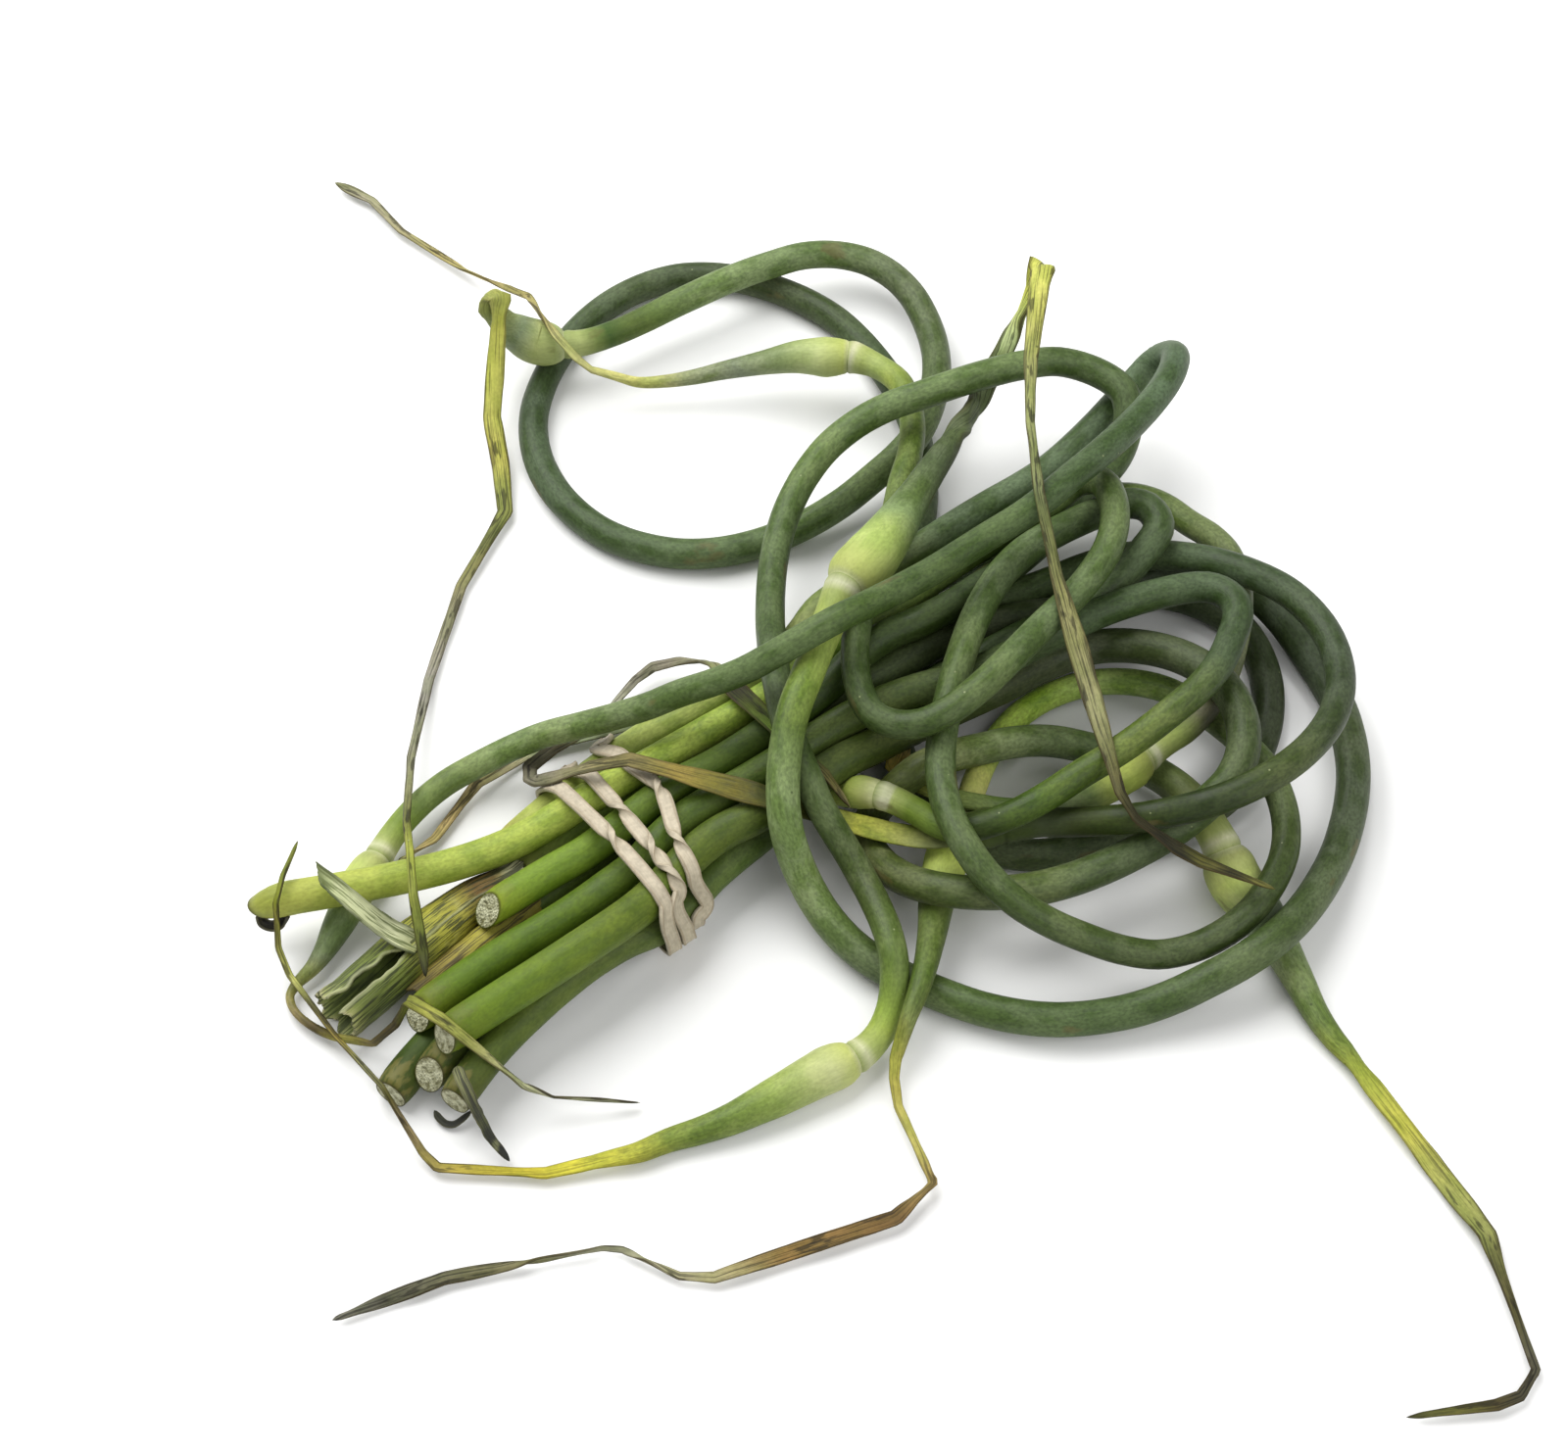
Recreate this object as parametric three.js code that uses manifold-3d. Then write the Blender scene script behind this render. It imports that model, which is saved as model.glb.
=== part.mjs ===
// Garlic scape bunch: ten cut scapes, looped through one another, in one wound rubber band.
// It lies on a flat surface at z = 0. Millimetres, +Z up, the cut butts of the stems towards -X.
import * as THREE from "three";
import { mergeVertices } from "three/addons/utils/BufferGeometryUtils.js";
import Module from "manifold-3d";

const wasm = await Module();
wasm.setup();

// A scape is one sweep. Its stem is a list of [x, y, z] points from the cut butt to the ring below the
// flower head, round, and tapering from butt to neck. Its head goes on from the ring to the dry tip of the
// beak, as rows of [x, y, z, width, thickness].
const SCAPES = [
  {
    name: "scape_01",
    colour: 0x4c6b45,
    girth: [8.8, 6.4],
    stem: [
      [-84, -108, 10.5], [-74.5, -95, 10.5], [-62.5, -83.5, 9], [-48, -71, 8.5], [-32, -57, 7],
      [-19.5, -43.5, 8], [-2.5, -26, 7], [12.5, -8, 8], [27, 8, 12.5], [41, 15, 10.5], [58.5, 25, 8],
      [76.5, 36, 5.5], [94.5, 40, 4], [108, 36.5, 4], [119, 26.5, 4], [123.5, 10, 4], [121.5, -5.5, 4],
      [113.5, -21.5, 4], [97.5, -33.5, 4], [80.5, -38, 4.5], [63, -42, 4.5], [50, -39, 3.5],
      [36.5, -27.5, 4], [28.5, -8.5, 4], [26.5, 10, 4], [29, 30, 4], [34, 51, 4], [37, 74, 4],
      [34.5, 97.5, 4], [26, 117.5, 4], [13.5, 134.5, 4], [-2.5, 145, 4], [-17.5, 149.5, 4],
      [-32.5, 148.5, 4], [-48.5, 139, 4], [-61.5, 121, 4], [-67.5, 97.5, 4], [-63, 77.5, 4],
      [-51.5, 62.5, 4], [-38.5, 55, 4], [-23, 52.5, 4], [-6.5, 56, 4], [10.5, 64, 6], [24.5, 75, 9],
      [35, 85.5, 12.5], [41, 107, 11], [39.5, 126.5, 9], [32.5, 141.5, 10], [21.5, 149.5, 11],
      [8, 150.5, 12], [-5.5, 145.5, 12.5], [-17.5, 138.5, 13.5], [-29.5, 132, 12.5],
      [-41.5, 125, 11.5], [-53, 118, 13],
    ],
    head: [
      [-60.5, 116.5, 13.5, 7.6, 7.6], [-67, 117.5, 13.5, 11, 11], [-72.5, 118.5, 16.5, 9, 9],
      [-77, 119.5, 20.5, 6.4, 6.4], [-79.5, 120, 25.5, 5.6, 5.6], [-78, 121, 28.5, 5.2, 5.2],
      [-75.5, 118, 30, 5.2, 2], [-76, 113, 26, 5.2, 2], [-78, 103.5, 17, 5.2, 2],
      [-78.5, 97.5, 10, 5, 2], [-77, 90, 5, 5, 1.8], [-75, 78, 3, 4.8, 1.6], [-74, 67, 2.5, 3.8, 1.6],
      [-77.5, 58.5, 2, 3, 1.6], [-82.5, 49.5, 2, 3, 1.6], [-87.5, 30, 2, 2.8, 1.6],
      [-91.5, 11.5, 2, 2.8, 1.6], [-93.5, -10, 6, 2.2, 1.6], [-93.5, -26.5, 13, 2, 1.6],
      [-92.5, -40, 20, 2, 1.6], [-90.5, -51, 25, 2, 1.6], [-90, -58.5, 25, 2, 1.6],
      [-89, -65, 24, 2.2, 1.6], [-88, -71, 20, 2.8, 1.6], [-86.5, -77, 16.5, 2.8, 1.6],
      [-85.5, -84, 15.5, 1.2, 1.2],
    ],
  },
  {
    name: "scape_02",
    colour: 0x7f9c45,
    girth: [8.2, 6.4],
    stem: [
      [-128, -61.5, 13], [-119, -60, 13.5], [-107, -58, 14.5], [-90.5, -52.5, 15.5],
      [-72, -44.5, 16.5], [-56.5, -38, 17.5], [-49, -34, 17.5], [-32, -22, 16.5], [-19.5, -14, 17.5],
      [-8.5, -7, 18.5], [3.5, 1.5, 19.5], [15.5, 11.5, 22], [25.5, 18, 24], [43.5, 31, 28],
      [59, 41, 31], [68.5, 47.5, 31.5], [75, 52.5, 34], [80.5, 50.5, 37], [83.5, 39.5, 39.5],
      [81, 26, 40.5], [73, 12.5, 41], [62.5, 0, 41.5], [55, -10, 43], [47.5, -18.5, 43],
      [39, -25, 41.5], [31, -26.5, 38.5], [22.5, -23, 37], [18.5, -14.5, 36.5], [17.5, -4.5, 37.5],
      [18.5, 7, 36], [21, 20.5, 31], [25, 34.5, 27.5], [28.5, 51, 23], [31, 65, 21.5], [33.5, 75, 21],
      [33.5, 87.5, 20], [31, 98, 19], [25.5, 105, 17.5],
    ],
    head: [
      [18, 109.5, 16.5, 8, 8], [12.5, 109.5, 16.5, 9.6, 9.6], [4, 110.5, 15.5, 8, 8],
      [-5.5, 111, 12.5, 6.2, 6.2], [-16, 110, 10.5, 5, 5], [-28, 108.5, 8.5, 3.8, 3.8],
      [-39.5, 107.5, 8.5, 3, 3], [-50, 105.5, 14.5, 2.4, 2.4], [-56.5, 107, 20.5, 2.2, 2.2],
      [-61.5, 112.5, 23, 2.2, 2.2], [-66.5, 124, 19, 2.2, 2.2], [-70, 135, 12.5, 2, 2],
      [-77, 143.5, 6.5, 2, 2], [-86, 151, 3, 2, 1.6], [-98.5, 161, 2, 2, 1.6],
      [-110, 171, 2, 2.2, 1.6], [-115, 178.5, 2, 2.4, 1.6], [-120.5, 183, 2.5, 3.6, 1.6],
      [-127.5, 187, 2, 1.2, 1.2],
    ],
  },
  {
    name: "scape_03",
    colour: 0x55763c,
    girth: [9, 7.8],
    stem: [
      [-93.5, -110, 4.5], [-86.5, -99, 4.5], [-71.5, -80.5, 4.5], [-55, -65, 6], [-38.5, -49.5, 8],
      [-21.5, -33, 10.5], [-4, -16, 11.5], [10.5, -4, 16.5], [23, 1.5, 20], [45, 15.5, 20],
      [61, 21, 18], [80.5, 28, 13.5], [90, 35.5, 12.5], [99, 41.5, 12.5], [111.5, 40.5, 11],
      [124, 33, 9.5], [134.5, 19, 5], [141.5, 2, 4.5], [143, -18, 5], [138, -39.5, 6.5],
      [126.5, -62.5, 12.5], [115, -75.5, 15], [103.5, -81.5, 12], [87, -87, 7], [68, -90, 6],
      [52, -88, 5.5], [38, -82.5, 5], [26, -76, 5], [16.5, -69.5, 6.5], [8.5, -60.5, 10],
      [3, -53, 18.5], [0, -48, 32], [0, -38, 38.5], [2, -26.5, 42.5], [6, -14.5, 44], [10.5, -0.5, 43],
    ],
    head: [
      [15, 11.5, 44, 10.4, 10.4], [21.5, 21, 43, 13.8, 13.8], [27.5, 34, 38.5, 11.6, 11.6],
      [33, 45.5, 36.5, 8.8, 8.8], [38, 56, 35, 7.6, 7.6], [43, 67, 32, 6.4, 6.4],
      [48.5, 80.5, 27.5, 6, 6], [54, 93.5, 25, 5.6, 5.6], [57.5, 100.5, 28, 5.2, 5.2],
      [61.5, 105, 35, 5, 5], [65, 108.5, 43, 5.6, 3], [67.5, 111.5, 51, 6.8, 2.4],
      [66.5, 104, 54, 6, 2], [64.5, 93, 53, 4.8, 1.8], [63, 77, 51.5, 3.6, 1.6],
      [62, 56, 54, 2.4, 1.6], [63, 34.5, 55.5, 2.8, 1.6], [65.5, 17, 52, 3, 1.6],
      [68.5, 5.5, 47.5, 4.2, 1.6], [72, -5.5, 41.5, 5.6, 1.6], [76, -21, 37, 4.8, 1.6],
      [79, -41, 39, 3.2, 1.6], [83, -51, 37, 2, 1.6], [89.5, -53.5, 31, 3.6, 1.6],
      [96.5, -55.5, 26.5, 4.4, 1.6], [107.5, -60, 23.5, 3, 1.6], [118, -64.5, 24, 1, 1.2],
    ],
  },
  {
    name: "scape_04",
    colour: 0x567a44,
    girth: [8.2, 6.2],
    stem: [
      [-69.5, -42, 6.5], [-62.5, -34.5, 7], [-56.5, -28.5, 7.5], [-40.5, -15.5, 10.5],
      [-27.5, -8.5, 14.5], [-13, 0.5, 15.5], [0, 11, 16], [9, 24.5, 17], [20, 34, 16.5],
      [31.5, 42.5, 16], [51, 58, 15.5], [68, 70.5, 15.5], [80, 82, 17.5], [91, 95, 19.5],
      [98.5, 100.5, 25.5], [102.5, 96.5, 32.5], [100.5, 85, 38], [94.5, 72.5, 41.5], [84.5, 57, 46],
      [74, 44.5, 48.5], [61, 31, 49.5], [48.5, 21, 50], [36, 11, 50.5], [24, 2.5, 51.5],
      [11.5, -6.5, 53.5], [-0.5, -12, 49.5], [-12, -14, 42], [-24, -13.5, 34.5], [-36.5, -14, 27],
      [-48.5, -13, 20], [-61.5, -13, 14], [-73.5, -16, 9], [-85.5, -23, 7], [-94, -32, 6],
      [-98, -38.5, 5.5],
    ],
    head: [
      [-100.5, -44, 5.5, 7.2, 7.2], [-104, -50.5, 5.5, 8.4, 8.4], [-109, -62.5, 4.5, 7, 7],
      [-113, -72, 4, 4.4, 4.4], [-117, -77, 3, 3, 3], [-119.5, -81, 2.5, 2.2, 2],
      [-117.5, -86.5, 3, 2, 2], [-112, -91, 3, 2.2, 2], [-106, -94, 3.5, 2.4, 2],
      [-99, -96.5, 5.5, 2, 1.8], [-94.5, -97.5, 10.5, 2, 1.8], [-91.5, -97.5, 17.5, 2, 1.8],
      [-89.5, -96, 23.5, 2.2, 1.8], [-86.5, -96, 25.5, 3, 1.8], [-82.5, -100, 26.5, 3, 1.8],
      [-77.5, -104, 26.5, 2.8, 1.8], [-73, -106.5, 22.5, 2.2, 1.8], [-68.5, -108.5, 17.5, 2, 1.8],
      [-63, -110, 11, 1.6, 1.6], [-55.5, -111.5, 7, 1.2, 1.6], [-44, -111.5, 4.5, 1.2, 1.6],
      [-34, -110.5, 2, 1, 1.4],
    ],
  },
  {
    name: "scape_05",
    colour: 0x5d8040,
    girth: [9, 6.4],
    stem: [
      [-87.5, -93, 13], [-70.5, -80, 15], [-52, -67, 16], [-41.5, -59, 17.5], [-34.5, -53, 18.5],
      [-26.5, -42.5, 18.5], [-15.5, -35, 20], [-4, -27.5, 21], [7, -19.5, 21.5], [16.5, -14, 24],
      [27.5, -9, 25.5], [48.5, -2.5, 27.5], [63.5, 4.5, 30.5], [78.5, 14, 29.5], [93.5, 19.5, 30],
      [107, 21, 31], [113, 14, 33.5], [111, 3, 34.5], [105, -9.5, 35.5], [96, -19, 35.5],
      [83.5, -29, 33.5], [71.5, -36.5, 31.5], [59.5, -43.5, 28.5], [50, -47, 26.5], [41.5, -47, 23.5],
      [33.5, -41.5, 22], [27.5, -37, 21],
    ],
    head: [
      [23.5, -35.5, 21.5, 7, 7], [19, -33, 19, 8, 8], [14.5, -27.5, 10.5, 6.4, 6.4],
      [7, -19, 2, 5, 2.4], [-3.5, -10.5, 1, 4.4, 2], [-14.5, -3, 1, 4.4, 2], [-25, 1.5, 1, 4.4, 2],
      [-29, 3, 1.5, 4.4, 2], [-37.5, 1.5, 2, 4.2, 2], [-50, -3, 1.5, 4, 2], [-62, -8, 1.5, 3.6, 2],
      [-72, -13.5, 1.5, 3.2, 2], [-77, -18.5, 2, 3, 2], [-81.5, -25, 2, 3, 2],
      [-86.5, -35, 2, 2.4, 1.8], [-96, -42.5, 2, 1.2, 1.6],
    ],
  },
  {
    name: "scape_06",
    colour: 0x7a9a3c,
    girth: [8.2, 6],
    stem: [
      [-65.5, -50.5, 6.5], [-50, -35, 7], [-27, -14.5, 7], [-4.5, 8, 6.5], [13, 21.5, 9],
      [27.5, 30, 12.5], [45.5, 41.5, 13.5], [62, 53.5, 13], [76, 61.5, 12], [89, 65.5, 12],
      [97.5, 62.5, 13], [106, 54, 14.5], [113.5, 43.5, 18], [116.5, 30.5, 18.5], [115, 17, 17.5],
      [110, 3, 17.5], [99, -11.5, 17.5],
    ],
    head: [
      [91, -18.5, 17.5, 7.8, 7.8], [86, -24, 17.5, 10, 10], [77.5, -30.5, 16.5, 8.4, 8.4],
      [70, -34.5, 16.5, 7, 7], [61.5, -36, 16, 6, 6], [55.5, -36, 16, 5.6, 5.6],
      [46, -34.5, 17, 5.2, 3], [40, -32, 16, 5.2, 2.4], [35.5, -28, 13.5, 5.6, 2.2],
      [30.5, -23.5, 12.5, 6, 2.2], [28, -20, 13, 6, 2.2], [29, -15, 11, 4, 2], [31, -11, 9.5, 2, 1.6],
    ],
  },
  {
    name: "scape_07",
    colour: 0x5b7d3c,
    girth: [9, 7.6],
    stem: [
      [-80, -103, 20], [-62.5, -91.5, 23], [-46.5, -80, 24.5], [-35, -69.5, 23], [-28.5, -61.5, 22],
      [-19, -49.5, 21.5], [-4, -40, 22], [14.5, -25.5, 21.5], [26, -17.5, 19.5], [36.5, -10.5, 18.5],
      [54.5, 0, 17.5], [67, 8, 17], [79.5, 12.5, 17.5], [96, 8, 21.5], [107.5, -3, 25.5],
      [113, -16, 26], [111, -30.5, 25.5], [102.5, -40.5, 24.5], [93, -46.5, 20.5], [73.5, -56, 17.5],
      [57, -61.5, 18.5], [42.5, -62, 19], [29.5, -55.5, 14.5], [21.5, -44.5, 10], [21.5, -33, 7],
      [28.5, -29.5, 17], [35, -25, 19], [49, -18, 16], [63, -13, 12.5], [76, -13.5, 10],
      [88.5, -17.5, 8.5], [97.5, -26, 11], [103.5, -37, 14],
    ],
    head: [
      [107.5, -45.5, 12.5, 9.6, 9.6], [110.5, -52, 8.5, 12, 12], [117.5, -61, 5, 10, 10],
      [124.5, -77.5, 4, 7.6, 7.6], [129.5, -89.5, 3, 6, 6], [137, -101, 2.5, 5, 3],
      [146, -117, 2, 5.2, 2.4], [156, -135, 2, 5, 2.2], [162, -143, 2, 5.6, 2],
      [165.5, -153, 2, 3, 1.8], [167.5, -165.5, 2, 2, 1.8], [169, -175, 2, 2.2, 1.8],
      [170.5, -180.5, 2, 2.2, 1.8], [167, -185.5, 2, 2.4, 1.8], [161.5, -188, 2, 3, 1.8],
      [152.5, -190, 1.5, 2.4, 1.6], [140, -191, 1.5, 1, 1.4],
    ],
  },
  {
    name: "scape_08",
    colour: 0x4f7040,
    girth: [8.2, 6.8],
    stem: [
      [-72, -65, 15], [-57, -55, 16.5], [-47.5, -49, 17.5], [-38.5, -41, 18], [-28, -32, 19],
      [-16, -24.5, 19.5], [-4.5, -16.5, 21], [9.5, -7.5, 26], [22.5, 5.5, 28.5], [37, 13, 29.5],
      [47.5, 22, 27.5], [60.5, 36.5, 23], [72, 51, 20.5], [80.5, 63, 20], [86.5, 70.5, 20.5],
      [90, 79, 24], [89.5, 86.5, 28], [85, 91.5, 29], [78.5, 95, 29.5], [72, 95.5, 31], [63, 93.5, 32],
      [51.5, 89, 33], [38.5, 83.5, 33], [25.5, 79.5, 30.5], [14, 72.5, 27.5], [6.5, 64, 24.5],
      [1, 53.5, 21.5], [-2.5, 38, 21], [-3.5, 20.5, 23], [-3, 5, 27.5], [-1.5, -10.5, 32.5],
      [1, -24.5, 33.5], [5, -35.5, 32.5], [9, -44, 28.5], [17, -52, 16.5], [23, -65, 15],
      [26, -76, 15], [26.5, -83.5, 11], [24.5, -91, 6.5], [20.5, -97, 5.5],
    ],
    head: [
      [16.5, -100.5, 5.5, 8.4, 8.4], [10.5, -103.5, 5.5, 10.4, 10.4], [-2.5, -111, 5, 9, 9],
      [-16, -117.5, 3.5, 7, 7], [-25.5, -120.5, 3, 6, 6], [-37, -125.5, 3, 5.2, 3.4],
      [-50.5, -129, 2, 5, 2.6], [-64.5, -129.5, 2, 3.6, 2], [-79.5, -129, 2, 3.6, 1.8],
      [-85.5, -124, 3.5, 2.8, 1.8], [-89.5, -118.5, 8.5, 2, 1.8], [-92, -114.5, 11.5, 1.8, 1.8],
      [-95, -111.5, 12.5, 1.8, 1.8], [-99.5, -105.5, 9, 1.8, 1.8], [-106.5, -95.5, 6, 1.8, 1.8],
      [-113, -87, 6, 2, 1.8], [-118.5, -79.5, 6, 2.2, 1.8], [-122, -73, 9.5, 2.2, 1.8],
      [-122.5, -69.5, 16.5, 2, 1.8], [-122, -64, 20.5, 2, 1.8], [-120.5, -55.5, 20, 2, 1.6],
      [-118.5, -46.5, 18, 1, 1.4],
    ],
  },
  {
    name: "scape_09",
    colour: 0x4f6f42,
    girth: [8.4, 6.4],
    stem: [
      [-77.5, -116, 12], [-69.5, -103.5, 13], [-55.5, -87.5, 14], [-41.5, -75, 14], [-27.5, -66, 12.5],
      [-16.5, -52, 12.5], [-3.5, -39, 12.5], [11.5, -19, 13.5], [26.5, -6, 16.5], [39.5, 1, 18.5],
      [59, 11.5, 22], [71.5, 17.5, 23.5], [82, 24.5, 25], [91, 33.5, 29], [95.5, 41, 30.5],
      [93, 47, 30.5], [88, 49.5, 29], [78, 44.5, 30], [71.5, 39, 32.5], [64.5, 34, 33], [58.5, 28, 34],
      [53.5, 20.5, 35], [49, 11.5, 35.5], [45.5, 2, 36], [42, -9.5, 35], [39.5, -20, 33],
      [38, -32, 32], [39, -44.5, 31.5], [43.5, -56, 30.5], [49, -64, 28.5], [56.5, -70, 25.5],
      [70.5, -74, 18.5], [89.5, -75.5, 12], [103.5, -72, 13.5], [115.5, -62, 15.5], [123, -45, 15],
      [122, -29, 14.5], [117.5, -17.5, 13], [110.5, -8.5, 11.5], [102.5, 2, 8.5], [95, 7, 7.5],
      [82.5, 9.5, 6.5], [70, 6.5, 6], [58.5, -2.5, 7], [50, -16.5, 7.5], [45.5, -32, 11.5],
    ],
    head: [
      [42.5, -39, 11.5, 7.6, 7.6], [40, -46.5, 9.5, 9.6, 9.6], [37.5, -56.5, 8.5, 8.4, 8.4],
      [36, -67.5, 10, 7, 7], [33, -83.5, 13.5, 5.6, 5.6], [29.5, -93.5, 12, 4.2, 4.2],
      [26.5, -101, 6, 3, 3], [26.5, -110, 4, 2.2, 1.8], [30, -120.5, 3.5, 2.2, 1.8],
      [35, -132.5, 3, 2.4, 1.8], [27.5, -140.5, 2.5, 3.8, 1.8], [11.5, -146, 2.5, 4.4, 1.8],
      [0, -150.5, 2.5, 4, 1.8], [-11.5, -155, 2, 3.6, 1.8], [-20.5, -157, 2, 2.2, 1.8],
      [-29.5, -153.5, 2, 1.6, 1.8], [-38.5, -149, 2, 1.2, 1.8], [-59, -152, 2, 2, 1.8],
      [-74.5, -155.5, 2, 3.6, 1.8], [-90, -160.5, 2, 3.6, 1.8], [-103.5, -167, 1.5, 1, 1.6],
    ],
  },
  {
    name: "scape_10",
    colour: 0x4c6c3e,
    girth: [8.2, 7],
    stem: [
      [-84.5, -79, 4], [-68, -64.5, 6], [-44.5, -43, 7.5], [-24, -23.5, 9], [-4.5, -4.5, 9],
      [11, 7, 12], [26, 18, 14.5], [43.5, 24.5, 15.5], [62.5, 31, 16.5], [83, 37.5, 20.5],
      [95.5, 38.5, 21.5], [112, 32, 26], [128, 21.5, 27.5], [136.5, 5, 29.5], [136, -15.5, 33],
      [126, -32.5, 35.5], [108.5, -44.5, 35.5], [90, -47, 30], [71.5, -44.5, 23], [61, -43, 20.5],
    ],
    head: [
      [54, -43, 19, 8.2, 8.2], [49, -43, 18, 9, 9], [43, -43.5, 17, 7.6, 3], [36, -45, 17, 6.2, 2],
      [26.5, -43.5, 16.5, 6.2, 2], [16.5, -41.5, 18, 6, 2], [9.5, -41, 21, 6, 2],
      [3.5, -42, 25.5, 6, 2], [-5.5, -40.5, 28.5, 6, 2], [-15.5, -37, 28.5, 6, 2],
      [-26, -32, 27, 6, 2], [-33.5, -30, 27.5, 5, 2], [-39, -28.5, 26.5, 3.6, 2],
      [-47.5, -31, 27, 3.6, 2], [-60.5, -28, 16.5, 3.6, 2], [-64, -20, 8, 3.6, 2],
      [-63, -15.5, 6.5, 3.6, 2], [-56.5, -9.5, 5.5, 3.2, 2], [-49.5, -6.5, 6.5, 2.4, 1.8],
      [-43.5, 3.5, 4.5, 2, 1.8], [-37.5, 12, 4.5, 2.2, 1.8], [-32, 16, 5, 2.8, 1.8],
      [-25, 15, 7.5, 2.8, 1.8], [-20, 11, 13, 2.8, 1.8], [-16.5, 5, 18.5, 3, 1.8],
      [-12.5, -5, 24, 5, 1.8], [-7.5, -12.5, 26.5, 5.6, 1.8], [-1, -20.5, 28, 4.4, 1.8],
      [5.5, -26, 27.5, 3.2, 1.8], [11, -34.5, 27, 3, 1.8], [16.5, -39, 20.5, 1, 1.6],
    ],
  },
];

// The split leaf sheath among the butts: a trough with one torn strip peeled back from its edge.
const SHEATH = {
  wall: 0.16,
  opening: 1.15,
  sides: 9,
  colour: 0x8c8f45,
  route: [
    [-105, -82.5, 6, 15, 12], [-100, -78, 6.5, 15.6, 12], [-94.5, -72.5, 6.5, 15, 12],
    [-88.5, -65.5, 6, 14, 11.6], [-82.5, -59.5, 5.5, 13, 10.6], [-76, -53.5, 5, 11, 9.4],
  ],
  flap: [
    [-90, -73.5, 9.5, 6, 1.6], [-92, -72, 11.5, 6.4, 1.6], [-95.5, -70.5, 15, 6.2, 1.4],
    [-99.5, -69, 19, 5.6, 1.4], [-103.5, -67, 22, 5, 1.4], [-108, -63.5, 23.5, 4.4, 1.4],
    [-112.5, -60, 25, 2.6, 1.4],
  ],
};

// Dried remnants of leaf that hang on the butts.
const DRY_STRIPS = [
  {
    name: "dry_strip_01",
    colour: 0x6d6a45,
    route: [
      [-76.5, -110.5, 19.5, 4.6, 1.6], [-75.5, -113.5, 20, 5, 1.6], [-74, -116.5, 19, 5, 1.6],
      [-72.5, -119, 16.5, 4.8, 1.6], [-71, -120, 11, 4.6, 1.6], [-69, -122, 6, 4, 1.6],
      [-66.5, -124, 3, 3.2, 1.6], [-64.5, -126, 1.5, 2, 1.4],
    ],
  },
  {
    name: "dry_strip_02",
    colour: 0x3f4033,
    route: [
      [-83, -112.5, 2, 2.6, 1.6], [-81.5, -114.5, 1, 3.2, 1.8], [-79, -116, 1, 3.2, 1.8],
      [-76.5, -115, 1.5, 2.8, 1.8], [-74, -112.5, 2, 2, 1.6],
    ],
  },
];

// The rubber band: one loop, wound three times round the stems. Each wrap starts low on the far side of the
// bunch at its far lead along the stems, passes over to its near lead, and goes on below to the next wrap.
// The wraps with a slack run below the band's last return, a little further from the stems: drop and rise
// are the parts of a turn over which the slack comes and goes.
const BAND = {
  centre: [-42, -46],
  heading: 0.7357,
  width: 4,
  thickness: 1.1,
  clearance: 0.3,
  wraps: [
    { far: 0.5, near: -7, slack: 1.3 },
    { far: 9.5, near: -2.6, slack: 1.3 },
    { far: 21, near: 1.8, slack: 0 },
  ],
  drop: [0.4, 0.5],
  rise: [0.85, 1],
  turnSteps: 120,
  step: 2,
  stemReach: 160,
  colour: 0xcdbfa8,
};

// How finely the sweeps are cut: the longest step on a stem, on a flower head and on a leaf, the shortest
// step anywhere, and the turn in radians that calls for a new step.
const FINE_STEP = 1;
const STEM_SIDES = 8;
const STEM_STEP = 9;
const HEAD_STEP = 3;
const LEAF_STEP = 7;
const SHORTEST_STEP = 1.5;
const TURN_LIMIT = 0.3;

// A flower head is cut finely from a little before its ring for the length given.
const RING_LEAD = 4;
const HEAD_LENGTH = 28;

// Below this level part of a route's direction, its side direction is carried on from before.
const LEVEL = 0.25;

// Vertices closer than this are one.
const WELD = 1e-4;

const ROUGHNESS = { skin: 0.5, rubber: 0.7, dry: 0.8 };

const UP = new THREE.Vector3(0, 0, 1);

function finish(colour, roughness) {
  return new THREE.MeshStandardMaterial({ color: colour, roughness, metalness: 0 });
}

// A round section of radius 1 with flat facets.
function roundSection(sides) {
  const points = [];
  for (let i = 0; i < sides; i += 1) {
    const angle = (2 * Math.PI * i) / sides;
    points.push(new THREE.Vector2(Math.cos(angle), Math.sin(angle)));
  }
  return new THREE.Shape(points);
}

// A trough of outer radius 1 that is open over the top by the angle given.
function troughSection(wall, opening, steps) {
  const outer = [];
  const inner = [];
  for (let i = 0; i <= steps; i += 1) {
    const angle = Math.PI / 2 + opening / 2 + ((2 * Math.PI - opening) * i) / steps;
    outer.push(new THREE.Vector2(Math.cos(angle), Math.sin(angle)));
    inner.unshift(new THREE.Vector2((1 - wall) * Math.cos(angle), (1 - wall) * Math.sin(angle)));
  }
  return new THREE.Shape([...outer, ...inner]);
}

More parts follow.
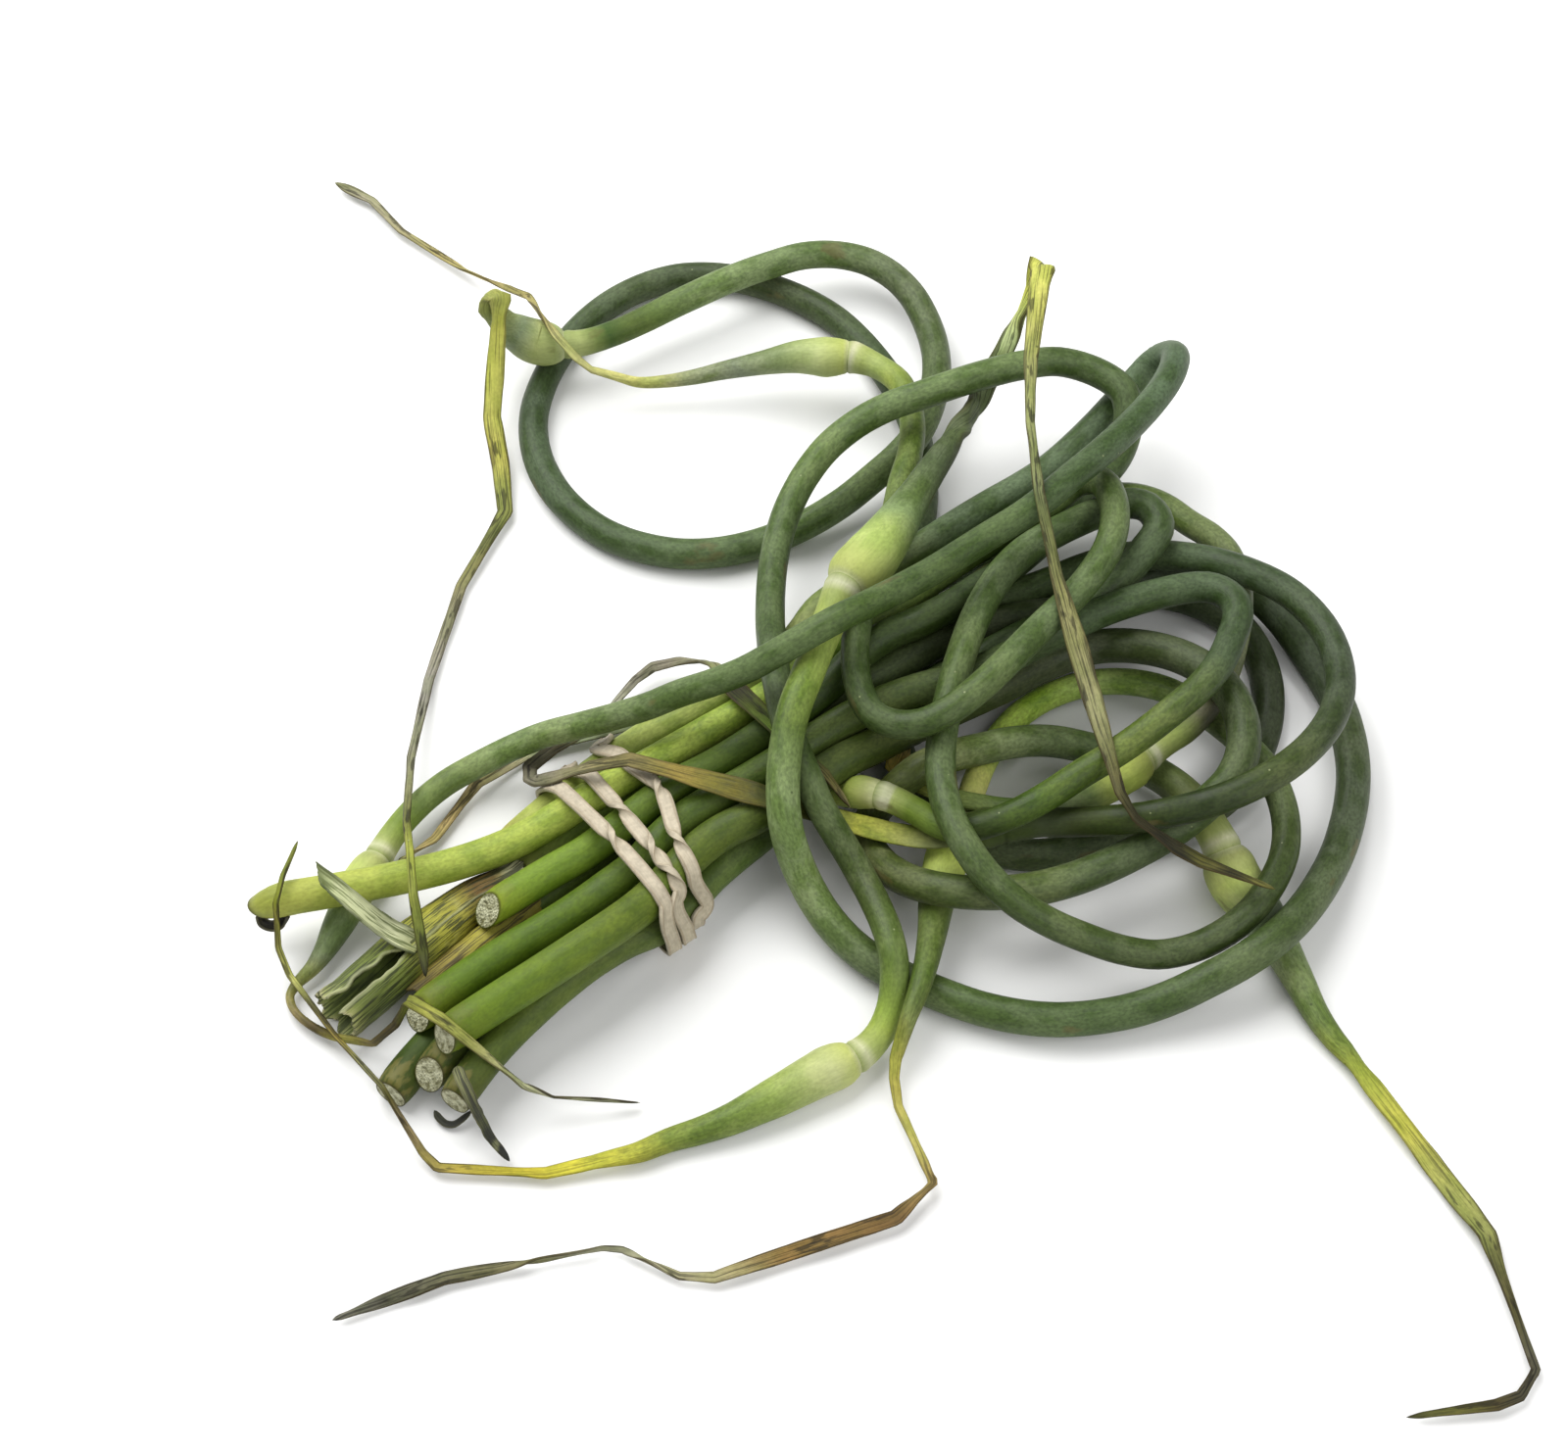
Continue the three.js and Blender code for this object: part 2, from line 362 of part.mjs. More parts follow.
// Walks a curve through the rows in fine steps. Each sample has its place, its half width and half
// thickness, its arc length, and a level side direction, kept steady where the route climbs or folds over.
function walk(rows) {
  const places = rows.map(([x, y, z]) => new THREE.Vector3(x, y, z));
  const curve = new THREE.CatmullRomCurve3(places);
  const samples = [];
  const last = rows.length - 1;
  for (let i = 0; i < last; i += 1) {
    const count = Math.ceil(places[i].distanceTo(places[i + 1]) / FINE_STEP);
    for (let j = 0; j < count + (i === last - 1 ? 1 : 0); j += 1) {
      const f = j / count;
      const place = curve.getPoint((i + f) / last);
      const width = THREE.MathUtils.lerp(rows[i][3], rows[i + 1][3], f);
      const thickness = THREE.MathUtils.lerp(rows[i][4], rows[i + 1][4], f);
      samples.push({ place, row: i + f, a: width / 2, b: thickness / 2 });
    }
  }
  let arc = 0;
  let side = null;
  samples.forEach((sample, i) => {
    const before = samples[Math.max(i - 1, 0)].place;
    const after = samples[Math.min(i + 1, samples.length - 1)].place;
    sample.tangent = after.clone().sub(before).normalize();
    arc += sample.place.distanceTo(before);
    sample.arc = arc;
    const level = UP.clone().cross(sample.tangent);
    if (side === null || level.length() > LEVEL) {
      if (side !== null && level.dot(side) < 0) level.negate();
      side = level.normalize();
    }
    const square = side.clone().addScaledVector(sample.tangent, -side.dot(sample.tangent)).normalize();
    sample.side = square;
    sample.normal = sample.tangent.clone().cross(square);
  });
  return samples;
}

// Keeps the samples that a faceted sweep needs: one at least every step, and more on a bend.
function stations(samples, stepAt) {
  const kept = [samples[0]];
  let turned = 0;
  for (let i = 1; i < samples.length - 1; i += 1) {
    turned += samples[i].tangent.angleTo(samples[i - 1].tangent);
    const run = samples[i].arc - kept[kept.length - 1].arc;
    const rest = samples[samples.length - 1].arc - samples[i].arc;
    const room = run > SHORTEST_STEP && rest > SHORTEST_STEP;
    if (room && (run > stepAt(samples[i]) || turned > TURN_LIMIT)) {
      kept.push(samples[i]);
      turned = 0;
    }
  }
  kept.push(samples[samples.length - 1]);
  return kept;
}

// Extrudes a section straight, one step to a station, then carries each slice to its station.
function sweep(section, kept) {
  const steps = kept.length - 1;
  const geometry = new THREE.ExtrudeGeometry(section, { depth: steps, steps, bevelEnabled: false });
  const position = geometry.attributes.position;
  for (let i = 0; i < position.count; i += 1) {
    const at = kept[Math.round(position.getZ(i))];
    const place = at.place.clone();
    place.addScaledVector(at.side, position.getX(i) * at.a);
    place.addScaledVector(at.normal, position.getY(i) * at.b);
    position.setXYZ(i, place.x, place.y, place.z);
  }
  return closed(geometry);
}

// Merges shared vertices, so that the surface is closed.
function closed(geometry) {
  geometry.deleteAttribute("normal");
  geometry.deleteAttribute("uv");
  return mergeVertices(geometry, WELD);
}

function toSolid(geometry) {
  return new wasm.Manifold(
    new wasm.Mesh({
      numProp: 3,
      vertProperties: new Float32Array(geometry.attributes.position.array),
      triVerts: new Uint32Array(geometry.index.array),
    }),
  );
}

function toGeometry(solid) {
  const mesh = solid.getMesh();
  const geometry = new THREE.BufferGeometry();
  geometry.setAttribute("position", new THREE.BufferAttribute(mesh.vertProperties, 3));
  geometry.setIndex(new THREE.BufferAttribute(mesh.triVerts, 1));
  return geometry;
}

function named(name, geometry, material) {
  const mesh = new THREE.Mesh(geometry, material);
  mesh.name = name;
  return mesh;
}

// The rows of a whole scape: the stem's points get their tapering width, the head's rows follow.
function scapeRows({ girth, stem, head }) {
  const [butt, neck] = girth;
  const rows = stem.map(([x, y, z], i) => {
    const width = THREE.MathUtils.lerp(butt, neck, i / stem.length);
    return [x, y, z, width, width];
  });
  return [...rows, ...head];
}

function makeScape(scape) {
  const samples = walk(scapeRows(scape));
  const ring = samples.find((sample) => sample.row >= scape.stem.length).arc;
  const stepAt = ({ arc }) => {
    if (arc < ring - RING_LEAD) return STEM_STEP;
    return arc < ring + HEAD_LENGTH ? HEAD_STEP : LEAF_STEP;
  };
  const geometry = sweep(roundSection(STEM_SIDES), stations(samples, stepAt));
  return { samples, mesh: named(scape.name, geometry, finish(scape.colour, ROUGHNESS.skin)) };
}

function makeSheath() {
  const section = troughSection(SHEATH.wall, SHEATH.opening, SHEATH.sides);
  const trough = sweep(section, stations(walk(SHEATH.route), () => LEAF_STEP));
  const flap = sweep(roundSection(STEM_SIDES), stations(walk(SHEATH.flap), () => LEAF_STEP));
  const joined = toSolid(trough).add(toSolid(flap));
  return named("leaf_sheath", toGeometry(joined), finish(SHEATH.colour, ROUGHNESS.dry));
}

// The tight outline round the stems, as wide as the band, at an offset along the bunch: the point of the
// outline that faces the turn given (0 is the far side, a quarter the top, a half the near side).
function outlinePoint(stems, offset, turn, slack) {
  const along = new THREE.Vector3(Math.cos(BAND.heading), Math.sin(BAND.heading), 0);
  const across = new THREE.Vector3(-along.y, along.x, 0);
  const centre = new THREE.Vector3(BAND.centre[0], BAND.centre[1], 0);
  const angle = 2 * Math.PI * turn;
  const facing = across.multiplyScalar(Math.cos(angle)).addScaledVector(UP, Math.sin(angle));
  let reach = -Infinity;
  let best = null;
  stems.flat().forEach(({ place, arc, a }) => {
    const from = place.clone().sub(centre);
    const ahead = from.dot(along);
    if (arc > BAND.stemReach || Math.abs(ahead - offset) > BAND.width / 2) return;
    const radius = a + BAND.clearance + BAND.thickness / 2 + slack;
    const stretch = from.dot(facing) + radius;
    if (stretch > reach) {
      reach = stretch;
      best = from.addScaledVector(along, offset - ahead).addScaledVector(facing, radius).add(centre);
    }
  });
  return { place: best, facing };
}

// How far each step of a plain turn has come over the bunch, or back under it, from 0 to 1 by length.
function turnShares(stems) {
  const lengths = [0];
  let before = outlinePoint(stems, 0, 0, 0).place;
  for (let i = 1; i <= BAND.turnSteps; i += 1) {
    const { place } = outlinePoint(stems, 0, i / BAND.turnSteps, 0);
    lengths.push(lengths[i - 1] + place.distanceTo(before));
    before = place;
  }
  const half = lengths[BAND.turnSteps / 2];
  const whole = lengths[BAND.turnSteps];
  return lengths.map((length) => (length < half ? length / half : (length - half) / (whole - half)));
}

// The middle line of the band: its points are at least a step apart, but for those at the ends of a
// straight run from one stem to the next.
function bandRing(stems) {
  const shares = turnShares(stems);
  const points = [];
  BAND.wraps.forEach(({ far, near, slack }, wrap) => {
    const next = BAND.wraps[(wrap + 1) % BAND.wraps.length];
    for (let i = 0; i < BAND.turnSteps; i += 1) {
      const turn = i / BAND.turnSteps;
      const [from, to] = turn < 0.5 ? [far, near] : [near, next.far];
      const dropped = THREE.MathUtils.smoothstep(turn, ...BAND.drop);
      const risen = THREE.MathUtils.smoothstep(turn, ...BAND.rise);
      const offset = THREE.MathUtils.lerp(from, to, shares[i]);
      points.push(outlinePoint(stems, offset, turn, slack * (dropped - risen)));
    }
  });
  const kept = [];
  points.forEach((point, i) => {
    const ahead = points[(i + 1) % points.length];
    const run = kept.length === 0 ? BAND.step : point.place.distanceTo(kept[kept.length - 1].place);
    if (run >= BAND.step || point.place.distanceTo(ahead.place) >= BAND.step) kept.push(point);
  });
  return kept;
}

// One closed loop with a flat section: a torus whose slices are carried to the points of the ring.
function makeBand(stems) {
  const ring = bandRing(stems);
  const count = ring.length;
  const geometry = new THREE.TorusGeometry(2, 1, 4, count);
  const position = geometry.attributes.position;
  for (let i = 0; i < position.count; i += 1) {
    const slice = i % (count + 1);
    const corner = Math.floor(i / (count + 1)) % 4;
    const { place, facing } = ring[slice % count];
    const before = ring[(slice + count - 1) % count].place;
    const after = ring[(slice + 1) % count].place;
    const tangent = after.clone().sub(before).normalize();
    const flat = tangent.clone().cross(facing).normalize();
    const outward = flat.clone().cross(tangent);
    const wide = corner === 0 || corner === 3 ? 1 : -1;
    const thick = corner < 2 ? 1 : -1;
    const vertex = place.clone();
    vertex.addScaledVector(flat, (wide * BAND.width) / 2);
    vertex.addScaledVector(outward, (thick * BAND.thickness) / 2);
    position.setXYZ(i, vertex.x, vertex.y, vertex.z);
  }
  return named("rubber_band", closed(geometry), finish(BAND.colour, ROUGHNESS.rubber));
}

const bunch = new THREE.Group();
const scapes = SCAPES.map(makeScape);
scapes.forEach(({ mesh }) => bunch.add(mesh));
bunch.add(makeBand(scapes.map(({ samples }) => samples)));
bunch.add(makeSheath());
DRY_STRIPS.forEach(({ name, colour, route }) => {
  const kept = stations(walk(route), () => LEAF_STEP);
  bunch.add(named(name, sweep(roundSection(STEM_SIDES), kept), finish(colour, ROUGHNESS.dry)));
});

// The origin is under the middle of the whole bunch, on the surface that it lies on.
const box = new THREE.Box3().setFromObject(bunch);
const middle = box.getCenter(new THREE.Vector3());
bunch.position.set(-middle.x, -middle.y, -box.min.z);

const root = new THREE.Group();
root.add(bunch);
export default root;
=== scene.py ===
"""Garlic scape bunch: ten cut scapes looped through one another, held by one wound rubber band.

Each scape is one skin rolled round the route of its CAD sweep: a waxy stem, the pale ring, the flower bud
and the long drying beak. The CAD gives every place and thickness; this script gives the living shape and the
finishes.
"""
from __future__ import annotations

import logging
import math
from dataclasses import dataclass, field
from enum import Enum
from functools import cache
from typing import Any

import bmesh
import bpy
import numpy as np
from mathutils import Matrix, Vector, noise


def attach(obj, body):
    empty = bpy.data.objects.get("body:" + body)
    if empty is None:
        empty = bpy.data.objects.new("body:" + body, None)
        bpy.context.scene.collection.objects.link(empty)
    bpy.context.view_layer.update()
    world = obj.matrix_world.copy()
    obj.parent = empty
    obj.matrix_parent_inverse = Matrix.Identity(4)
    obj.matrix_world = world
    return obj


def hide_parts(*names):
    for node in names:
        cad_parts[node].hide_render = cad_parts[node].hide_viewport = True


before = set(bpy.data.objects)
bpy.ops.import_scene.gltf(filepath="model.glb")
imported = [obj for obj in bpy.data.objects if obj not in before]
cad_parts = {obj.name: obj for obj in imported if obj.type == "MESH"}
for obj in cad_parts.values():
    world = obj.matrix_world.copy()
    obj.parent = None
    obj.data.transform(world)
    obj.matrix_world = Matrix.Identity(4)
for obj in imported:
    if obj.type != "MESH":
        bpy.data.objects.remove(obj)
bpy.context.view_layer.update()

LOG = logging.getLogger("garlic_scape_bunch")

BODY = "root"
MM = 0.001
WELD = 1e-6
UP = np.array([0.0, 0.0, 1.0])
Route = tuple[tuple[float, ...], ...]
Colour = tuple[float, float, float]

# Colours are given as they look in the studio's strong light; the surfaces reflect this much of that. The
# haze of the wax adds a little white light, so the plant's own colours hold less blue.
REFLECTED = (0.62, 0.62, 0.47)
PAPER = (0.85, 0.85, 0.85)
RUBBER = (0.6, 0.6, 0.58)


def linear(colour: str, reflected: Colour = REFLECTED) -> tuple[float, float, float, float]:
    """Turns an sRGB colour, as it looks in the studio, to the linear reflectance of its surface.

    Args:
        colour: the colour as six hex digits, with or without a leading hash.
        reflected: how much of red, green and blue the surface reflects.

    Returns:
        Red, green, blue and an alpha of 1.
    """
    digits = colour.lstrip("#")
    parts = [int(digits[i : i + 2], 16) / 255 for i in (0, 2, 4)]
    light = [p / 12.92 if p <= 0.04045 else ((p + 0.055) / 1.055) ** 2.4 for p in parts]
    red, green, blue = (share * part for share, part in zip(reflected, light))
    return red, green, blue, 1.0


def add(
    tree: bpy.types.NodeTree, kind: str, inputs: dict[Any, Any] | tuple[Any, ...] = (), **settings: Any
) -> bpy.types.Node:
    """Adds one shader node.

    Args:
        tree: the material's node tree.
        kind: the node's type after "ShaderNode".
        inputs: the inputs in order, or by name or place. Each is a value, an output socket, or a node whose
            first enabled output is meant.
        settings: properties of the node.

    Returns:
        The new node.
    """
    made = tree.nodes.new("ShaderNode" + kind)
    for name, value in settings.items():
        setattr(made, name, value)
    for key, value in inputs.items() if isinstance(inputs, dict) else enumerate(inputs):
        if isinstance(value, bpy.types.Node):
            value = next(socket for socket in value.outputs if socket.enabled)
        if isinstance(value, bpy.types.NodeSocket):
            tree.links.new(value, made.inputs[key])
        else:
            made.inputs[key].default_value = value
    return made


def grain(
    tree: bpy.types.NodeTree, straight: Any, size: float, run: float, detail: float = 2.0, scale: float = 1.0
) -> bpy.types.Node:
    """Adds noise on the unrolled skin.

    Args:
        tree: the material's node tree.
        straight: the place on the unrolled skin.
        size: the size of the grain across, in metres.
        run: its size lengthwise.
        detail: how many finer layers it has.
        scale: how many times finer it is than its sizes say.

    Returns:
        The noise node.
    """
    spread = add(tree, "VectorMath", (straight, (1 / size, 1 / size, 1 / run)), operation="MULTIPLY")
    return add(tree, "TexNoise", {"Vector": spread, "Scale": scale, "Detail": detail})


def edge_share(tree: bpy.types.NodeTree) -> bpy.types.Node:
    """Adds how near a place is to the two edges of a flat piece.

    Args:
        tree: the material's node tree.

    Returns:
        The node that gives 0 in the middle and 1 at either edge.
    """
    section = add(tree, "Attribute", attribute_name="section").outputs["Vector"]
    level = add(tree, "SeparateXYZ", (section,)).outputs["X"]
    return add(tree, "Math", (level,), operation="ABSOLUTE")


def surface(
    tree: bpy.types.NodeTree, base: Any, rough: Any, height: Any, relief: float, specular: float = 0.5
) -> None:
    """Ends a material with its relief, its shader and the output.

    Args:
        tree: the material's node tree.
        base: the colour.
        rough: the roughness.
        height: the pattern that stands up from the surface.
        relief: how high it stands where it is 1, in metres.
        specular: the shader's specular level.
    """
    bump = add(tree, "Bump", {"Height": height, "Distance": relief, "Strength": 1.0})
    inputs = {"Base Color": base, "Roughness": rough, "Normal": bump, "Specular IOR Level": specular}
    add(tree, "OutputMaterial", (add(tree, "BsdfPrincipled", inputs),))


# --- Finishes ---


@dataclass(frozen=True)
class Finish:
    """What a surface is made of and how it was made. Each kind of finish adds its own nodes."""

    name: str

    def build(self) -> bpy.types.Material:
        """Makes the material.

        Returns:
            The material, with the finish's nodes.
        """
        material = bpy.data.materials.new(self.name)
        material.use_nodes = True
        material.node_tree.nodes.clear()
        self.paint(material.node_tree)
        return material

    def paint(self, tree: bpy.types.NodeTree) -> None:
        """Adds the finish's nodes to the material's empty node tree."""
        raise NotImplementedError


@dataclass(frozen=True)
class Course:
    """Colours that follow one another along a piece."""

    stops: tuple[tuple[float, str], ...]

    @staticmethod
    def read(text: str) -> Course:
        """Reads "mm colour, mm colour, ..." with the places in millimetres."""
        pairs = [item.split() for item in text.split(",")]
        return Course(tuple((float(place), colour) for place, colour in pairs))

    def ramp(self, tree: bpy.types.NodeTree, along: Any) -> bpy.types.Node:
        """Adds the colour ramp.

        Args:
            tree: the material's node tree.
            along: the place along the piece, in metres.

        Returns:
            The ramp, which gives the colour at that place.
        """
        first, last = self.stops[0][0], self.stops[-1][0]
        share = add(tree, "MapRange", (along, first * MM, last * MM))
        ramp = add(tree, "ValToRGB", (share,))
        elements = ramp.color_ramp.elements
        elements[0].color = linear(self.stops[0][1])
        elements[-1].position = 1.0
        elements[-1].color = linear(self.stops[-1][1])
        for place, colour in self.stops[1:-1]:
            elements.new((place - first) / (last - first)).color = linear(colour)
        return ramp


@dataclass(frozen=True)
class ScapeSkin(Finish):
    """Living scape: a cuticle under grey wax bloom, rubbed off in patches, yellow and brown on the beak.

    The bloom is grey, pale and matt; where it has rubbed off, the skin is a deeper green and a little glossy.
    The fibres run lengthwise and show more where the beak has dried.

    Args:
        name: the material's name.
        stem: the colours of the stem, at places back from the ring.
        head: the colours from the ring to the tip.
        dry_from: where the beak starts to dry, past the ring.
        dry_to: where it is dry.
        withered: the share of withered streaks by the cut.

    The tints are those of sunny patches, of bloom and of rubbed skin. The rest are sizes of its patterns.
    """

    stem: Course
    head: Course
    dry_from: float
    dry_to: float
    withered: float
    sunny_tint: tuple[float, float, float] = (1.16, 1.07, 0.8)
    bloom_tint: tuple[float, float, float] = (1.3, 1.24, 1.36)
    rubbed_tint: tuple[float, float, float] = (0.77, 0.84, 0.6)
    bloom: float = 5.5 * MM
    patch: float = 24 * MM
    stipple: float = 0.7 * MM
    fibre: float = 0.42 * MM
    fibre_run: float = 16 * MM
    speck: float = 0.24 * MM
    speck_cell: float = 7 * MM
    dot: float = 0.32 * MM
    dot_cell: float = 11 * MM
    scar: float = 9 * MM
    mould: float = 1.6 * MM
    mould_run: float = 9 * MM

    def paint(self, tree: bpy.types.NodeTree) -> None:
        """Adds the finish's nodes to the material's empty node tree.

        Args:
            tree: the material's node tree.
        """
        straight = add(tree, "Attribute", attribute_name="straight").outputs["Vector"]
        along = add(tree, "Attribute", attribute_name="along").outputs["Fac"]
        from_cut = add(tree, "SeparateXYZ", (straight,)).outputs["Z"]
        from_ring = add(tree, "Math", (along,), operation="ABSOLUTE")
        dry = add(tree, "MapRange", (along, self.dry_from, self.dry_to))
        patches = grain(tree, straight, self.patch, self.patch * 1.6)
        stipple = grain(tree, straight, self.stipple, self.stipple * 1.5)
        fibres = grain(tree, straight, self.fibre, self.fibre_run)

        # The course drifts a few millimetres to and fro round the scape, but not at the ring.
        room = add(tree, "MapRange", (from_ring, 4 * MM, 40 * MM, 0.0, 14 * MM))
        drift = add(tree, "Math", (grain(tree, straight, 7 * MM, 14 * MM), 0.5), operation="SUBTRACT")
        place = add(tree, "Math", (drift, room, along), operation="MULTIPLY_ADD")
        in_head = add(tree, "Math", (along, 0.0), operation="GREATER_THAN")
        courses = {0: in_head, 6: self.stem.ramp(tree, place), 7: self.head.ramp(tree, place)}
        base = add(tree, "Mix", courses, data_type="RGBA")

        # Sunnier patches are yellower.
        sunny = add(tree, "MapRange", (patches, 0.5, 0.72, 0.0, 0.4))
        yellowed = add(tree, "VectorMath", (base, self.sunny_tint), operation="MULTIPLY")
        base = add(tree, "Mix", {0: sunny, 6: base, 7: yellowed}, data_type="RGBA")

        # Grey bloom and rubbed skin, strongest on the middle of the stem and faint by cut, ring and dry beak.
        rubbed = add(tree, "MapRange", (grain(tree, straight, self.bloom, self.bloom * 1.7, 5.0), 0.43, 0.57))
        dusty = add(tree, "VectorMath", (base, self.bloom_tint), operation="MULTIPLY")
        bare = add(tree, "VectorMath", (base, self.rubbed_tint), operation="MULTIPLY")
        bloomed = add(tree, "Mix", {0: rubbed, 6: dusty, 7: bare}, data_type="RGBA")
        reach = add(tree, "MapRange", (from_cut, 10 * MM, 150 * MM, 0.45, 1.0))
        for limit in ((from_ring, 4 * MM, 40 * MM, 0.25, 1.0), (dry, 0.0, 0.6, 1.0, 0.45)):
            reach = add(tree, "Math", (reach, add(tree, "MapRange", limit)), operation="MULTIPLY")
        base = add(tree, "Mix", {0: reach, 6: base, 7: bloomed}, data_type="RGBA")

        # Fibres are faint on the living skin and dark on the dry beak, and the bloom is gritty.
        clouds = add(tree, "MapRange", (patches, 0.3, 0.7, 0.86, 1.12))
        grit = add(tree, "MapRange", (stipple, 0.3, 0.7, -0.26, 0.26))
        grit = add(tree, "Math", (grit, reach, 1.0), operation="MULTIPLY_ADD")
        low = add(tree, "MapRange", (dry, 0.0, 1.0, 0.94, 0.42))
        high = add(tree, "MapRange", (dry, 0.0, 1.0, 1.01, 1.14))
        furrow = add(tree, "MapRange", (fibres, 0.38, 0.5, low, high))
        for shade in (clouds, grit, furrow):
            base = add(tree, "VectorMath", {0: base, "Scale": shade}, operation="SCALE")

        # Rare brown scars, pale specks, dark dots and, on the driest of the beak, black mould. The beak is
        # brown along its thin edges, and the stem withers in streaks towards its cut, which has a brown rim.
        scars = grain(tree, straight, self.scar, self.scar * 2, 4.0)
        scarred = add(tree, "MapRange", (scars, 0.67, 0.72, 0.0, 0.55))
        specks = self.dots(tree, straight, self.speck_cell, self.speck, 0.5, 0.0)
        dots = self.dots(tree, straight, self.dot_cell, self.dot, 0.4, 5 * MM)
        spots = grain(tree, straight, self.mould, self.mould_run, 4.0)
        spots = add(tree, "MapRange", (spots, 0.57, 0.62, 0.0, 0.7))
        driest = add(tree, "MapRange", (dry, 0.7, 1.0))
        mould = add(tree, "Math", (spots, driest), operation="MULTIPLY")
        edge = add(tree, "MapRange", (edge_share(tree), 0.74, 0.97, 0.0, 0.75))
        edge = add(tree, "Math", (edge, dry), operation="MULTIPLY")
        by_cut = add(tree, "MapRange", (from_cut, 2 * MM, 16 * MM, 0.08, -0.25))
        shrunk = add(tree, "Math", (by_cut, grain(tree, straight, 3 * MM, 7 * MM, 5.0)))
        streaks = add(tree, "MapRange", (shrunk, 0.56, 0.63, 0.0, self.withered))
        rim = add(tree, "MapRange", (from_cut, 0.1 * MM, 0.7 * MM, 0.7, 0.0))
        for share, colour in (
            (scarred, "#6f6544"),
            (specks, "#b4bd9a"),
            (dots, "#242c18"),
            (mould, "#1f1c12"),
            (edge, "#4a3d22"),
            (streaks, "#7f7a46"),
            (rim, "#4a4426"),
        ):
            base = add(tree, "Mix", {0: share, 6: base, 7: linear(colour)}, data_type="RGBA")

        # Rubbed skin shines a little, and the dry beak is dull and furrowed.
        gloss = add(tree, "Math", (rubbed, reach), operation="MULTIPLY")
        rough = add(tree, "MapRange", (gloss, 0.0, 1.0, 0.6, 0.42))
        rough = add(tree, "Math", (dry, 0.12, rough), operation="MULTIPLY_ADD")
        height = add(tree, "MapRange", (dry, 0.0, 1.0, 0.05, 0.4))
        height = add(tree, "Math", (fibres, height), operation="MULTIPLY")
        height = add(tree, "Math", (stipple, 0.05, height), operation="MULTIPLY_ADD")
        surface(tree, base, rough, height, MM, specular=0.22)

    @staticmethod
    def dots(
        tree: bpy.types.NodeTree, straight: Any, cell: float, radius: float, chance: float, shift: float
    ) -> bpy.types.Node:
        """Adds scattered round dots.

        Args:
            tree: the material's node tree.
            straight: the place on the unrolled skin.
            cell: how far apart dots may be, in metres.
            radius: their radius.
            chance: the share of cells that have one.
            shift: how far this set is moved from others.

        Returns:
            The node that gives a dot's strength, 0 between dots.
        """
        moved = add(tree, "VectorMath", (straight, (shift, shift, shift)))
        scaled = add(tree, "VectorMath", {0: moved, "Scale": 1 / cell}, operation="SCALE")
        cells = add(tree, "TexVoronoi", {"Vector": scaled, "Scale": 1.0})
        near = add(tree, "MapRange", (cells, 1.3 * radius / cell, 0.8 * radius / cell, 0.0, 0.6))
        pick = add(tree, "SeparateColor", (cells.outputs["Color"],))
        some = add(tree, "Math", (pick, chance), operation="LESS_THAN")
        return add(tree, "Math", (near, some), operation="MULTIPLY")


@dataclass(frozen=True)
class CutFlesh(Finish):
    """Cut scape: dull dried pith, grey-cream and speckled with strands, inside an olive rim of skin."""

    name: str = "cut_flesh_dried"
    strand: float = 0.6 * MM

    def paint(self, tree: bpy.types.NodeTree) -> None:
        """Adds the finish's nodes to the material's empty node tree.

        Args:
            tree: the material's node tree.
        """
        straight = add(tree, "Attribute", attribute_name="straight").outputs["Vector"]
        section = add(tree, "Attribute", attribute_name="section").outputs["Vector"]
        share = add(tree, "SeparateXYZ", (section,)).outputs["Z"]
        clouds = grain(tree, straight, self.strand, self.strand, 5.0, 0.3)
        scaled = add(tree, "VectorMath", {0: straight, "Scale": 1 / self.strand}, operation="SCALE")
        strands = add(tree, "TexVoronoi", {"Vector": scaled, "Scale": 1.0})
        dried = add(tree, "MapRange", (clouds, 0.36, 0.6))
        dots = add(tree, "MapRange", (strands, 0.1, 0.26, 0.8, 0.0))
        wander = add(tree, "Math", (clouds, 0.16, share), operation="MULTIPLY_ADD")
        rim = add(tree, "MapRange", (wander, 1.0, 1.06))
        base: Any = linear("#85835f")
        for amount, colour in ((dried, "#f0f0e2"), (dots, "#4c4a30"), (rim, "#4b4a26")):
            base = add(tree, "Mix", {0: amount, 6: base, 7: linear(colour)}, data_type="RGBA")
        surface(tree, base, 0.75, add(tree, "Math", (clouds, strands)), 0.5 * MM)


